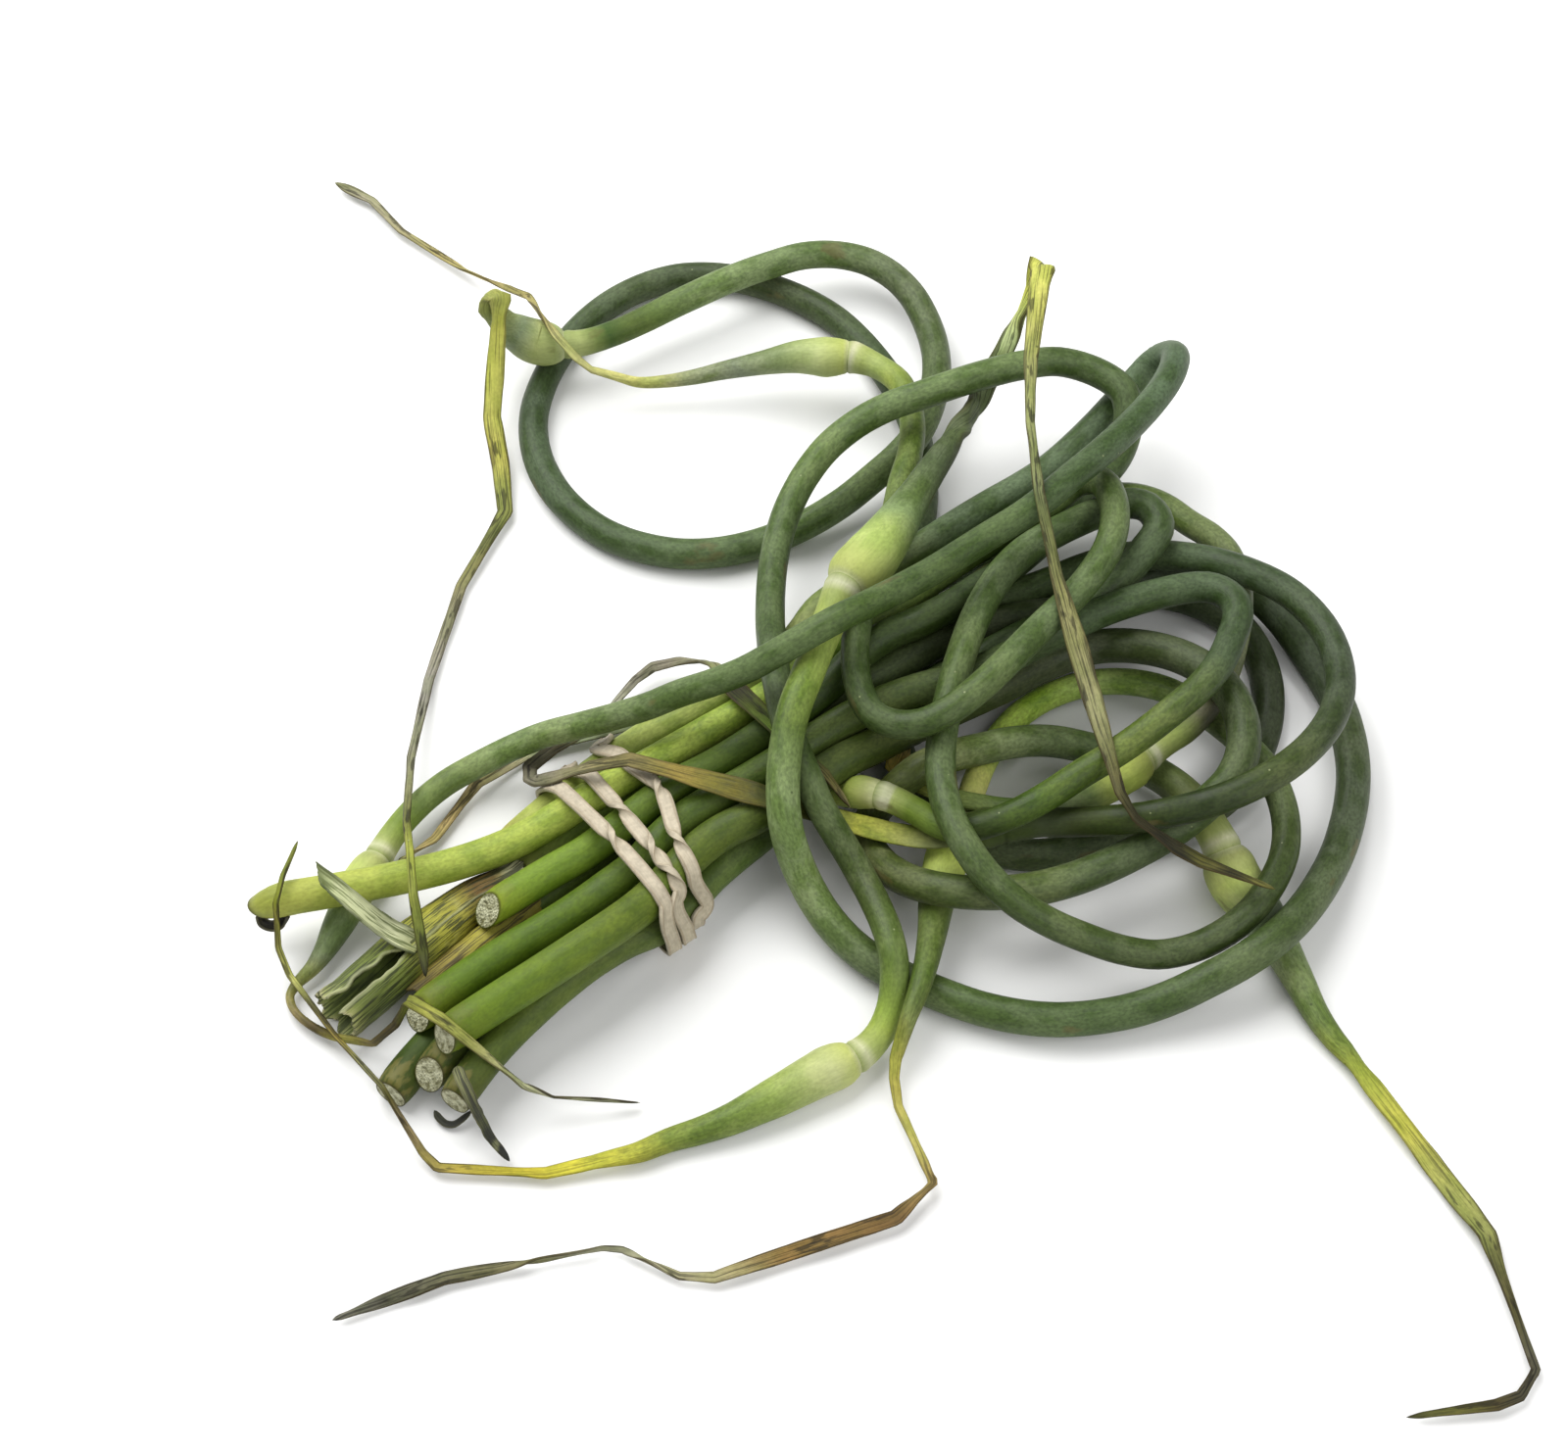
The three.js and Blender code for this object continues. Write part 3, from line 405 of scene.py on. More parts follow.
@dataclass(frozen=True)
class BandRubber(Finish):
    """Natural rubber, extruded flat and cut: buff, matt and dusty, with a darker line painted inside each lip
    as painted shade beside it.
    """

    name: str = "natural_rubber_buff"
    colour: str = "#dccfb6"
    edge_colour: str = "#a48f70"
    speckle: float = 0.6 * MM
    streak_run: float = 9 * MM

    def paint(self, tree: bpy.types.NodeTree) -> None:
        """Adds the finish's nodes to the material's empty node tree.

        Args:
            tree: the material's node tree.
        """
        straight = add(tree, "Attribute", attribute_name="straight").outputs["Vector"]
        edge = edge_share(tree)
        # Painted shade: a darker line on the inner slope of each raised lip, where the lip shades the band.
        inner = add(tree, "MapRange", (edge, 0.58, 0.78, 0.0, 0.6))
        outer = add(tree, "MapRange", (edge, 0.84, 0.95, 1.0, 0.0))
        line = add(tree, "Math", (inner, outer), operation="MULTIPLY")
        flat, rim = linear(self.colour, RUBBER), linear(self.edge_colour, RUBBER)
        base = add(tree, "Mix", {0: line, 6: flat, 7: rim}, data_type="RGBA")
        streaks = grain(tree, straight, self.speckle, self.streak_run, 3.0)
        dust = grain(tree, straight, self.speckle, self.speckle, 4.0, 0.6)
        for pattern, low in ((streaks, 0.86), (dust, 0.8)):
            tint = add(tree, "MapRange", (pattern, 0.3, 0.65, low, 1.04))
            base = add(tree, "VectorMath", {0: base, "Scale": tint}, operation="SCALE")
        surface(tree, base, 0.62, dust, 0.1 * MM)


@dataclass(frozen=True)
class DryLeaf(Finish):
    """Dried leaf: papery, dull, with dark lengthwise fibres, pale scars and edges of another colour.

    Args:
        name: the material's name.
        course: the colours from one end to the other.
        fibre_colour: the colour of the fibres.
        edge_colour: the colour of both edges.
        edge_amount: how much of it shows.
        edge_from: how far out it starts, as a share of the half width.
        scar_colour: the colour of the scars.
        scar_amount: how much of it shows.

    The rest are sizes of its patterns.
    """

    course: Course
    fibre_colour: str
    edge_colour: str
    edge_amount: float = 0.6
    edge_from: float = 0.78
    scar_colour: str = "#b5b78f"
    scar_amount: float = 0.5
    fibre: float = 0.6 * MM
    fibre_run: float = 11 * MM
    scar: float = 7 * MM
    drift: float = 8 * MM

    def paint(self, tree: bpy.types.NodeTree) -> None:
        """Adds the finish's nodes to the material's empty node tree.

        Args:
            tree: the material's node tree.
        """
        straight = add(tree, "Attribute", attribute_name="straight").outputs["Vector"]
        along = add(tree, "Attribute", attribute_name="along").outputs["Fac"]
        clouds = grain(tree, straight, self.scar, self.scar, 4.0)
        fibres = grain(tree, straight, self.fibre, self.fibre_run, 3.0)
        drift = add(tree, "Math", (clouds, 0.5), operation="SUBTRACT")
        place = add(tree, "Math", (drift, self.drift, along), operation="MULTIPLY_ADD")
        base = self.course.ramp(tree, place)
        scars = add(tree, "MapRange", (clouds, 0.55, 0.66, 0.0, self.scar_amount))
        lines = add(tree, "MapRange", (fibres, 0.48, 0.57, 0.0, 0.85))
        edge = add(tree, "MapRange", (edge_share(tree), self.edge_from, 0.98, 0.0, self.edge_amount))
        layers = ((scars, self.scar_colour), (lines, self.fibre_colour), (edge, self.edge_colour))
        for share, colour in layers:
            base = add(tree, "Mix", {0: share, 6: base, 7: linear(colour)}, data_type="RGBA")
        tint = add(tree, "MapRange", (clouds, 0.25, 0.75, 0.75, 1.2))
        base = add(tree, "VectorMath", {0: base, "Scale": tint}, operation="SCALE")
        surface(tree, base, 0.68, add(tree, "Math", (fibres, 0.35), operation="MULTIPLY"), MM)


@dataclass(frozen=True)
class StudioPaper(Finish):
    """Matt white background paper, which only catches soft shadows."""

    name: str = "background_paper_matt"
    colour: str = "#fbfbfa"

    def paint(self, tree: bpy.types.NodeTree) -> None:
        """Adds the finish's nodes to the material's empty node tree.

        Args:
            tree: the material's node tree.
        """
        where = add(tree, "TexCoord").outputs["Object"]
        pulp = add(tree, "TexNoise", {"Vector": where, "Scale": 60.0, "Detail": 2.0})
        tint = add(tree, "MapRange", (pulp, 0.3, 0.7, 0.985, 1.0))
        base = add(tree, "VectorMath", {0: linear(self.colour, PAPER)[:3], "Scale": tint}, operation="SCALE")
        matt = {"Base Color": base, "Roughness": 0.9, "Specular IOR Level": 0.1}
        add(tree, "OutputMaterial", (add(tree, "BsdfPrincipled", matt),))


# --- Routes and meshes ---


def unit(rows: np.ndarray) -> np.ndarray:
    """Scales each row to length one."""
    return rows / np.maximum(np.linalg.norm(rows, axis=-1, keepdims=True), 1e-12)


def ease(value: np.ndarray | float, low: float, high: float) -> Any:
    """Rises smoothly from 0 at low to 1 at high."""
    share = np.clip((np.asarray(value, float) - low) / (high - low), 0, 1)
    return share * share * (3 - 2 * share)


def waver(x: float, y: float, z: float) -> float:
    """Smooth noise between about -1 and 1, the same on each run."""
    return noise.noise(Vector((x, y, z)))


def arcs_of(places: np.ndarray) -> np.ndarray:
    """The arc length at each place of a route."""
    return np.concatenate([[0], np.cumsum(np.linalg.norm(np.diff(places, axis=0), axis=1))])


def circle(segments: int) -> tuple[np.ndarray, np.ndarray]:
    """Divides one turn.

    Args:
        segments: the number of its parts.

    Returns:
        The cosines and sines, the last the same as the first.
    """
    angles = np.linspace(0, 2 * math.pi, segments + 1)
    cos, sin = np.cos(angles), np.sin(angles)
    cos[-1], sin[-1] = cos[0], sin[0]
    return cos, sin


@dataclass
class Strand:
    """A route cut into rows, in metres: places, sides, normals, half widths, half thicknesses and arcs."""

    place: np.ndarray
    side: np.ndarray
    wide: np.ndarray
    thick: np.ndarray
    arc: np.ndarray = field(init=False)
    tangent: np.ndarray = field(init=False)
    normal: np.ndarray = field(init=False)

    def __post_init__(self) -> None:
        """Works out the arcs and squares each side to its tangent."""
        self.arc = arcs_of(self.place)
        self.tangent = unit(np.gradient(self.place, axis=0))
        lean = np.sum(self.side * self.tangent, axis=1, keepdims=True)
        self.side = unit(self.side - lean * self.tangent)
        self.normal = np.cross(self.tangent, self.side)

    @property
    def length(self) -> float:
        """The whole arc length."""
        return float(self.arc[-1])

    @staticmethod
    def through(keys: np.ndarray, step: float = MM) -> Strand:
        """Runs a smooth curve through key rows.

        Args:
            keys: rows of place, side, half width and half thickness, eight numbers each.
            step: the longest distance between two rows of the strand.

        Returns:
            The strand.
        """
        gaps = np.linalg.norm(np.diff(keys[:, :3], axis=0), axis=1)[:, None]
        slopes = np.diff(keys, axis=0) / gaps
        inner = (slopes[:-1] * gaps[1:] + slopes[1:] * gaps[:-1]) / (gaps[:-1] + gaps[1:])
        lean = np.vstack([slopes[:1], inner, slopes[-1:]])
        rows = []
        for i, gap in enumerate(gaps[:, 0]):
            count = max(1, math.ceil(gap / step))
            f = (np.arange(count) / count)[:, None]
            start = (2 * f**3 - 3 * f**2 + 1) * keys[i] + (f**3 - 2 * f**2 + f) * gap * lean[i]
            rows.append(start + (3 * f**2 - 2 * f**3) * keys[i + 1] + (f**3 - f**2) * gap * lean[i + 1])
        rows = np.vstack([*rows, keys[-1:]])
        return Strand(rows[:, :3], rows[:, 3:6], rows[:, 6], rows[:, 7])

    @staticmethod
    def level(rows: Route) -> Strand:
        """Makes a strand with its sides level.

        Args:
            rows: rows of x, y, z, width and thickness in millimetres.

        Returns:
            The strand.
        """
        table = np.array(rows, float)
        heading = unit(np.gradient(table[:, :3], axis=0))
        sides = unit(np.cross(UP, heading))
        return Strand.through(np.hstack([table[:, :3] * MM, sides, table[:, 3:] * MM / 2]), 0.5 * MM)

    def at(self, arcs: np.ndarray) -> Strand:
        """Cuts the same route into other rows.

        Args:
            arcs: the arc of each row.

        Returns:
            The strand.
        """

        def pick(column: np.ndarray) -> np.ndarray:
            """One column's value at each arc."""
            return np.interp(arcs, self.arc, column)

        place = np.stack([pick(self.place[:, i]) for i in range(3)], axis=1)
        side = np.stack([pick(self.side[:, i]) for i in range(3)], axis=1)
        return Strand(place, side, pick(self.wide), pick(self.thick))


def straighten(places: np.ndarray, slack: float) -> list[int]:
    """Finds the corners of the fewest straight runs that stay close to a route.

    Args:
        places: the route's places in order.
        slack: how far a run may pass from a place.

    Returns:
        The numbers of the places at the corners, with both ends.
    """
    last = len(places) - 1
    if last < 2:
        return list(range(last + 1))
    run = places[last] - places[0]
    out = places - places[0]
    off = np.linalg.norm(out - np.outer(np.clip(out @ run / (run @ run), 0, 1), run), axis=1)
    worst = int(np.argmax(off))
    if off[worst] < slack:
        return [0, last]
    before = straighten(places[: worst + 1], slack)[:-1]
    return before + [worst + i for i in straighten(places[worst:], slack)]


def merged(node: str) -> bmesh.types.BMesh:
    """Copies a CAD node's mesh and joins its loose triangles at their corners.

    Args:
        node: the CAD node's name.

    Returns:
        The copy.
    """
    bm = bmesh.new()
    bm.from_mesh(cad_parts[node].data)
    bmesh.ops.remove_doubles(bm, verts=bm.verts, dist=WELD)
    bm.verts.index_update()
    return bm


class CadSweep:
    """Reads back the stations of a CAD sweep: rings of eight vertices from one flat end to the other.

    A ring whose thickness is less than FLAT of its width has its side along its longest spokes.
    """

    SIDES = 8
    FLAT = 0.8

    def __init__(self, node: str) -> None:
        """Copies and merges the node's mesh, then walks its rings.

        Args:
            node: the CAD node's name.
        """
        bm = merged(node)
        tag = bm.verts.layers.int.new("tag")
        for number, vert in enumerate(bm.verts):
            vert[tag] = number
        bm.verts.ensure_lookup_table()
        flat = bm.copy()
        bmesh.ops.dissolve_limit(flat, angle_limit=0.001, verts=flat.verts, edges=flat.edges)
        flat_tag = flat.verts.layers.int["tag"]
        ends = [face for face in flat.faces if len(face.verts) == self.SIDES]
        caps = [[vert[flat_tag] for vert in face.verts] for face in ends]
        found = [rings for rings in (self._walk(bm, cap) for cap in caps) if rings]
        if not found:
            raise ValueError(f"{node} isn't a sweep of rings")
        self.rings = max(found, key=lambda rings: np.ptp(rings[0], axis=0).max())
        bm.free()
        flat.free()

    def _walk(self, bm: bmesh.types.BMesh, cap: list[int]) -> list[np.ndarray] | None:
        """Follows the rings from one end.

        Args:
            bm: the merged mesh.
            cap: the vertex numbers of one end.

        Returns:
            Each ring's corners, or None if the walk doesn't take in the whole mesh ring by ring.
        """
        ring = [bm.verts[i] for i in cap]
        seen = set(ring)
        rings = [ring]
        while len(seen) < len(bm.verts):
            linked = {edge.other_vert(vert) for vert in ring for edge in vert.link_edges} - seen
            ring = sorted(linked, key=lambda vert: vert.index)
            if len(ring) != self.SIDES:
                return None
            seen.update(ring)
            rings.append(ring)
        return [np.array([vert.co for vert in ring], float) for ring in rings]

    def keys(self) -> np.ndarray:
        """Turns each ring to a key row.

        Returns:
            Each ring's middle, side direction, half width and half thickness.
        """
        middles = np.array([ring.mean(axis=0) for ring in self.rings])
        side = np.cross(UP, unit(middles[1] - middles[0]))
        rows = []
        for middle, ring in zip(middles, self.rings):
            spokes = ring - middle
            lengths = np.linalg.norm(spokes, axis=1)
            wide = spokes[np.argsort(lengths)[-2:]] if lengths.min() < self.FLAT * lengths.max() else spokes
            across = wide[np.argmax(unit(wide) @ side)]
            side = unit(across)
            upright = spokes[np.argmin(np.abs(unit(spokes) @ side))]
            rows.append([*middle, *side, np.linalg.norm(across), np.linalg.norm(upright)])
        return np.array(rows)


@dataclass
class Sheet:
    """A grid of places to bend a mesh grid to, with what the finishes read at each place."""

    place: np.ndarray
    straight: np.ndarray
    section: np.ndarray
    along: np.ndarray

    @staticmethod
    def blank(arcs: np.ndarray, columns: int) -> Sheet:
        """A sheet with a row at each arc, still to be bent."""
        place = np.zeros((len(arcs), columns, 3))
        return Sheet(place, np.zeros_like(place), np.zeros_like(place), arcs)

    @staticmethod
    def rolled(
        place: np.ndarray,
        around: tuple[np.ndarray, np.ndarray],
        sizes: tuple[np.ndarray, np.ndarray],
        arcs: np.ndarray,
        along: np.ndarray | None = None,
        share: np.ndarray | None = None,
    ) -> Sheet:
        """A sheet rolled to a tube.

        Args:
            place: its places, row by row.
            around: each column's cosine and sine.
            sizes: each row's half width and half thickness.
            arcs: each row's arc from the start of the piece.
            along: its place along the course of colours, where that isn't its arc.
            share: how far out it lies, 1 on the skin and 0 in the middle of an end, if not all rows are skin.

        Returns:
            The sheet.
        """
        share = np.ones(len(arcs)) if share is None else share
        columns = (*around, np.ones(len(around[0])))
        rows = (share * sizes[0], share * sizes[1], arcs)
        straight = np.stack([np.outer(row, column) for row, column in zip(rows, columns)], axis=2)
        section = np.stack([np.outer(share, column) for column in columns], axis=2)
        return Sheet(place, straight, section, arcs if along is None else along)

    def mesh(self, merge: bool = True) -> bmesh.types.BMesh:
        """Bends a flat grid to the places.

        Args:
            merge: joins the seam and closes the poles.

        Returns:
            The mesh, with the attributes straight, section and along on its vertices.
        """
        rows, columns = self.place.shape[:2]
        bm = bmesh.new()
        bmesh.ops.create_grid(bm, x_segments=columns - 1, y_segments=rows - 1, size=1)
        straight = bm.verts.layers.float_vector.new("straight")
        section = bm.verts.layers.float_vector.new("section")
        along = bm.verts.layers.float.new("along")
        for vert in bm.verts:
            column = round((vert.co.x + 1) / 2 * (columns - 1))
            row = round((vert.co.y + 1) / 2 * (rows - 1))
            vert.co = self.place[row, column]
            vert[straight] = self.straight[row, column]
            vert[section] = self.section[row, column]
            vert[along] = self.along[row]
        if merge:
            bmesh.ops.remove_doubles(bm, verts=bm.verts, dist=WELD)
        bmesh.ops.recalc_face_normals(bm, faces=bm.faces)
        return bm


def placed(name: str, data: bpy.types.ID) -> bpy.types.Object:
    """Puts a mesh, light or camera in the scene.

    Args:
        name: its name.
        data: the mesh, light or camera.

    Returns:
        Its object.
    """
    thing = bpy.data.objects.new(name, data)
    bpy.context.scene.collection.objects.link(thing)
    return thing


def finished(
    name: str,
    bm: bmesh.types.BMesh,
    materials: list[bpy.types.Material],
    stands_for_node: bool = True,
) -> bpy.types.Object:
    """Makes a smooth piece of the bunch from a mesh.

    Args:
        name: the piece's name.
        bm: its mesh, freed here.
        materials: its finishes, in the order of the faces' material numbers.
        stands_for_node: whether it replaces the CAD node of its name.

    Returns:
        The object, riding on the bunch's body.
    """
    for face in bm.faces:
        face.smooth = True
    mesh = bpy.data.meshes.new(name)
    bm.to_mesh(mesh)
    bm.free()
    for material in materials:
        mesh.materials.append(material)
    piece = placed(name, mesh)
    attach(piece, BODY)
    if stands_for_node:
        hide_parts(name)
    LOG.info("%s: %d faces", name, len(mesh.polygons))
    return piece


# --- Scapes ---


class Butt(Enum):
    """How a scape's cut end has kept, as the share of its skin's dried patches there."""

    FRESH = 0.2
    DULL = 0.8


RING = "-5.2 a9b873, -3.6 b9c58c, -2.8 dcdfcc, -0.7 dcdfcc, 0 a3b077"


@dataclass
class Scape:
    """One scape: stem, ring, flower bud and beak, as one skin round the CAD route.

    Args:
        node: its CAD node.
        head: the length from the ring to the tip of the beak, in millimetres.
        butt: the kind of cut end.
        stem: the colours of the stem, at places back from the ring.
        beak: the colours from the ring to the tip.
        ring: the colours of the ring.
        hip: how squarely the bud rises from the ring, 0 to 1.
        slant: how far the cut is set back at the far side and at the top, as shares of the radius.
        set_back: how far the whole cut is set back, as a share of the radius.
        droop: how far the top of the cut end curls down, as a share of the radius.
        plump: how much fuller the bud is than its CAD solid.
        fuller: how much fuller the stem is than its CAD solid, at places back from the ring in millimetres.
        slim: how wide the dry beak is, as a share of its CAD solid.
        sag: where a sag of the stem starts, peaks and ends along it, and how far it moves at its peak, all in
            millimetres.
        limp_from: where the beak goes limp and flat, past the ring in metres.
        limp_run: over what length it does.
        segments: the number of faces round it.
    """

    node: str
    head: float
    butt: Butt
    stem: str
    beak: str
    ring: str = RING
    hip: float = 1.0
    slant: tuple[float, float] = (0.0, 0.6)
    set_back: float = 0.0
    droop: float = 0.0
    plump: float = 1.15
    fuller: tuple[tuple[float, float], ...] = ((0, 1.04),)
    slim: float = 1.0
    sag: tuple[float, float, float, float, float, float] | None = None
    limp_from: float = 55 * MM
    limp_run: float = 14 * MM
    segments: int = 28
    strand: Strand = field(init=False, repr=False)

    # The lengths of the faces on the stem, by the ring and on the beak, and where by the ring is.
    STEPS = (2 * MM, 0.35 * MM, 1 * MM)
    BY_RING = (-5 * MM, 9 * MM)
    # How far out each row of the cut face lies, and where the skin starts past it.
    FACE = (0, 0.3, 0.6, 0.84, 0.95)
    RIM = 0.35 * MM
    # Where the neck and its flare to the ring start, and the furthest place where the bud may be widest.
    NECK = -14 * MM
    FLARE = -11 * MM
    BUD = 26 * MM
    # Where the beak dries, next to where it goes limp, and how much of the head lives at the least.
    DRYING = (-20 * MM, 50 * MM)
    LIVING = 8 * MM
    # How far the dry beak's straight runs may pass from its route, the length of its creases, the length of
    # its rolls to and fro, and how much of its thickness it loses.
    KINK_SLACK = 1.3 * MM
    KINK_CREASE = 0.6 * MM
    ROLL_RUN = 19 * MM
    THINNED = 0.42
    # How far from the cut its slant, its droop and its drawing in reach.
    SLANT_RUN = 12 * MM
    DROOP_RUN = 8 * MM
    SHRUNK_RUN = 5 * MM
    # The lengths of the bud's hip, of its fading to the beak, and of the rounding of the tip.
    HIP_RUN = 7 * MM
    FADE_RUN = 34 * MM
    TIP_RUN = 4 * MM
    # The height and half width of the ring's swelling and of the crease past it, and how far back the
    # swelling is.
    SWELL = (0.14 * MM, 1 * MM)
    SWELL_BACK = 1.4 * MM
    CREASE = (0.2 * MM, 0.35 * MM)
    # The size, fineness and length of the stem's lumps; the size and length of the beak's flutter, cup and
    # crumples.
    LUMPS = ((0.014, 1.3, 16 * MM), (0.006, 3, 5 * MM))
    FLUTTER = (0.05, 7 * MM)
    CUP = (0.16, 23 * MM)
    CRUMPLE = (0.16, 3.5 * MM)

    def build(self) -> None:
        """Makes the scape, which stands for its CAD node."""
        whole = Strand.through(self.kinked(self.bowed(CadSweep(self.node).keys())))
        ring = whole.length - self.head * MM
        self.strand = whole.at(self.rows(whole, ring))
        self.strand.wide = self.shape(self.strand.wide, ring)
        self.strand.thick = self.shape(self.strand.thick, ring)
        self.wilt(ring)
        bm = self.skin(ring).mesh()
        self.mark_cut(bm)
        finished(self.node, bm, self.finishes())

    def kinked(self, keys: np.ndarray) -> np.ndarray:
        """Draws the dry beak into straight runs between kinks, as a dried leaf bends.

        Args:
            keys: the key rows read from the CAD.

        Returns:
            The key rows, with those of the dry beak moved to the runs and flattened out at the kinks.
        """
        arcs = arcs_of(keys[:, :3])
        past_ring = self.head * MM - (arcs[-1] - arcs)
        start = int(np.argmax(past_ring > self.limp_from))
        beak = keys[start:, :3].copy()
        corners = straighten(beak, self.KINK_SLACK)
        creases = []
        for first, last in zip(corners[:-1], corners[1:]):
            arcs = arcs_of(beak[first : last + 1])
            shares = (arcs / arcs[-1])[:, None]
            keys[start + first : start + last + 1, :3] = beak[first] + shares * (beak[last] - beak[first])
        for before, corner, after in zip(corners[:-2], corners[1:-1], corners[2:]):
            turn = 1 - float(unit(beak[corner] - beak[before]) @ unit(beak[after] - beak[corner]))
            keys[start + corner, 6] *= 1 + 0.35 * min(turn, 1)
            keys[start + corner, 7] *= 1 - 0.3 * min(turn, 1)
            creases.append(start + corner)
        rows = []
        for i, row in enumerate(keys):
            if i not in creases:
                rows.append(row)
                continue
            for other in (keys[i - 1], keys[i + 1]):
                share = min(0.3, self.KINK_CREASE / float(np.linalg.norm(other[:3] - row[:3])))
                rows.append(row + share * (other - row))
            rows.insert(-1, row)
        return np.array(rows)

    def bowed(self, keys: np.ndarray) -> np.ndarray:
        """Lets the stem sag a little between two places along it.

        Args:
            keys: the key rows read from the CAD.

        Returns:
            The key rows, moved by the sag.
        """
        if self.sag is None:
            return keys
        start, peak, end, x, y, z = (value * MM for value in self.sag)
        arcs = arcs_of(keys[:, :3])
        share = np.where(arcs < peak, ease(arcs, start, peak), ease(arcs, end, peak))
        keys[:, :3] += np.outer(share, (x, y, z))
        return keys

    def wilt(self, ring: float) -> None:
        """Flattens the dry beak and rolls it from side to side, as far as its thickness in the CAD allows.

        Args:
            ring: the ring's place along the strand.
        """
        s = self.strand
        dry = ease(s.arc - ring, self.limp_from, self.limp_from + self.limp_run)
        seed = float(ord(self.node[-1]))
        lean = np.clip([2.2 * waver(arc / self.ROLL_RUN, seed, 8) for arc in s.arc], -1, 1)
        roll = (dry * lean * np.arcsin(np.clip(0.9 * s.thick / np.maximum(s.wide, 1e-6), 0, 1)))[:, None]
        cos, sin = np.cos(roll), np.sin(roll)
        s.side, s.normal = s.side * cos + s.normal * sin, s.normal * cos - s.side * sin
        s.thick = s.thick * (1 - self.THINNED * dry)
        s.wide = s.wide * (1 - (1 - self.slim) * dry)

    def finishes(self) -> list[bpy.types.Material]:
        """Makes the scape's materials.

        Returns:
            The skin and the cut flesh.
        """
        stem, beak = Course.read(f"{self.stem}, {self.ring}"), Course.read(self.beak)
        dry_from, dry_to = max(self.limp_from + self.DRYING[0], self.LIVING), self.limp_from + self.DRYING[1]
        skin = ScapeSkin(f"{self.node}_waxy_skin", stem, beak, dry_from, dry_to, self.butt.value)
        return [skin.build(), cut_flesh()]

    def rows(self, whole: Strand, ring: float) -> np.ndarray:
        """Chooses the arcs of the rows, close together at the ring.

        Args:
            whole: the strand as read from the CAD.
            ring: the ring's place along it.

        Returns:
            The arcs, from just past the rim of the cut to the tip.
        """
        stops = (self.RIM, ring + self.BY_RING[0], ring + self.BY_RING[1], whole.length)
        runs = [
            np.linspace(start, stop, math.ceil((stop - start) / step), endpoint=False)
            for start, stop, step in zip(stops, stops[1:], self.STEPS)
        ]
        return np.concatenate([*runs, [whole.length]])

    def shape(self, size: np.ndarray, ring: float) -> np.ndarray:
        """Gives the neck, the ring, the bud's hip and the tip their shapes.

        Args:
            size: half widths or half thicknesses along the strand.
            ring: the ring's place along it.

        Returns:
            The shaped sizes.
        """
        past = self.strand.arc - ring
        at_ring = float(np.interp(0, past, size)) * (1 - 0.1 * self.hip)
        fuller = np.interp(past / MM, *zip(*self.fuller))
        neck = float(np.interp(self.NECK, past, size * fuller))
        window = (past > 0) & (past < self.BUD)
        peak = float(size[window].max()) * self.plump
        peak_at = float(past[window][np.argmax(size[window])])
        at_ring *= 1 + 0.6 * (self.plump - 1)
        flare = neck + (at_ring - neck) * ease(past, self.FLARE, 0) ** 1.4
        shoulder = 1 - (1 - np.clip(past / self.HIP_RUN, 0, 1)) ** (1.4 + 1.6 * self.hip)
        bud = at_ring + (peak - at_ring) * shoulder
        plumper = 1 + (self.plump - 1) * ease(past, peak_at + self.FADE_RUN, peak_at)
        size = size * np.where(past < 0, fuller, plumper)
        size = size * (1 - 0.12 * (1 - np.clip(self.strand.arc / self.SHRUNK_RUN, 0, 1)) ** 2)
        shaped = np.where((past > self.NECK) & (past <= 0), flare, size)
        shaped = np.where((past > 0) & (past < peak_at), np.maximum(bud, 0), shaped)
        swell = self.SWELL[0] * np.exp(-(((past + self.SWELL_BACK) / self.SWELL[1]) ** 2))
        crease = self.CREASE[0] * np.exp(-((past / self.CREASE[1]) ** 2))
        tip = self.strand.arc[-1] - self.strand.arc
        pointed = np.sqrt(np.clip(1 - (1 - np.clip(tip / self.TIP_RUN, 0, 1)) ** 2, 0, 1))
        return (shaped + swell - crease) * pointed

    def skin(self, ring: float) -> Sheet:
        """Rolls the skin round the strand, with the cut face first and the tip last.

        Args:
            ring: the ring's place along the strand.

        Returns:
            The places of the skin.
        """
        s = self.strand
        cos, sin = circle(self.segments)
        seed = float(sum(ord(letter) for letter in self.node[-2:]))
        count = len(s.arc)
        places = np.zeros((count, self.segments + 1, 3))
        for i in range(count):
            a, b, arc = s.wide[i], s.thick[i], s.arc[i]
            flat = float(ease(1 - b / max(a, 1e-9), 0.15, 0.45))
            breadth = 1 + self.FLUTTER[0] * flat * waver(arc / self.FLUTTER[1], seed, 0)
            cup = self.CUP[0] * flat * (1 + waver(arc / self.CUP[1], seed, 4))
            for j in range(self.segments + 1):
                c, n = cos[j], sin[j]
                lumps = 0
                for size, fine, run in self.LUMPS:
                    lumps += size * waver(c * fine + seed, n * fine, arc / run)
                swell = breadth * (1 + lumps)
                crumple = self.CRUMPLE[0] * flat * b * waver(c * 1.5 + seed, arc / self.CRUMPLE[1], 2)
                lift = cup * a * (c * c - 0.45) + crumple
                places[i, j] = s.place[i] + s.side[i] * (a * c * swell) + s.normal[i] * (b * n * swell + lift)
            if arc < self.SLANT_RUN:
                lean = self.slant[0] * cos + self.slant[1] * sin + self.set_back
                lean = lean * a * (1 - arc / self.SLANT_RUN)
                places[i] += np.outer(lean, s.tangent[i])
                curl = self.droop * a * (1 + sin) * max(0.0, 1 - arc / self.DROOP_RUN) ** 2
                places[i] -= np.outer(curl, s.normal[i])
        place = np.concatenate([self.cut_face(places[0], cos), places])
        place[-1] = place[-1].mean(axis=0)
        shares = np.concatenate([self.FACE, np.ones(count)])
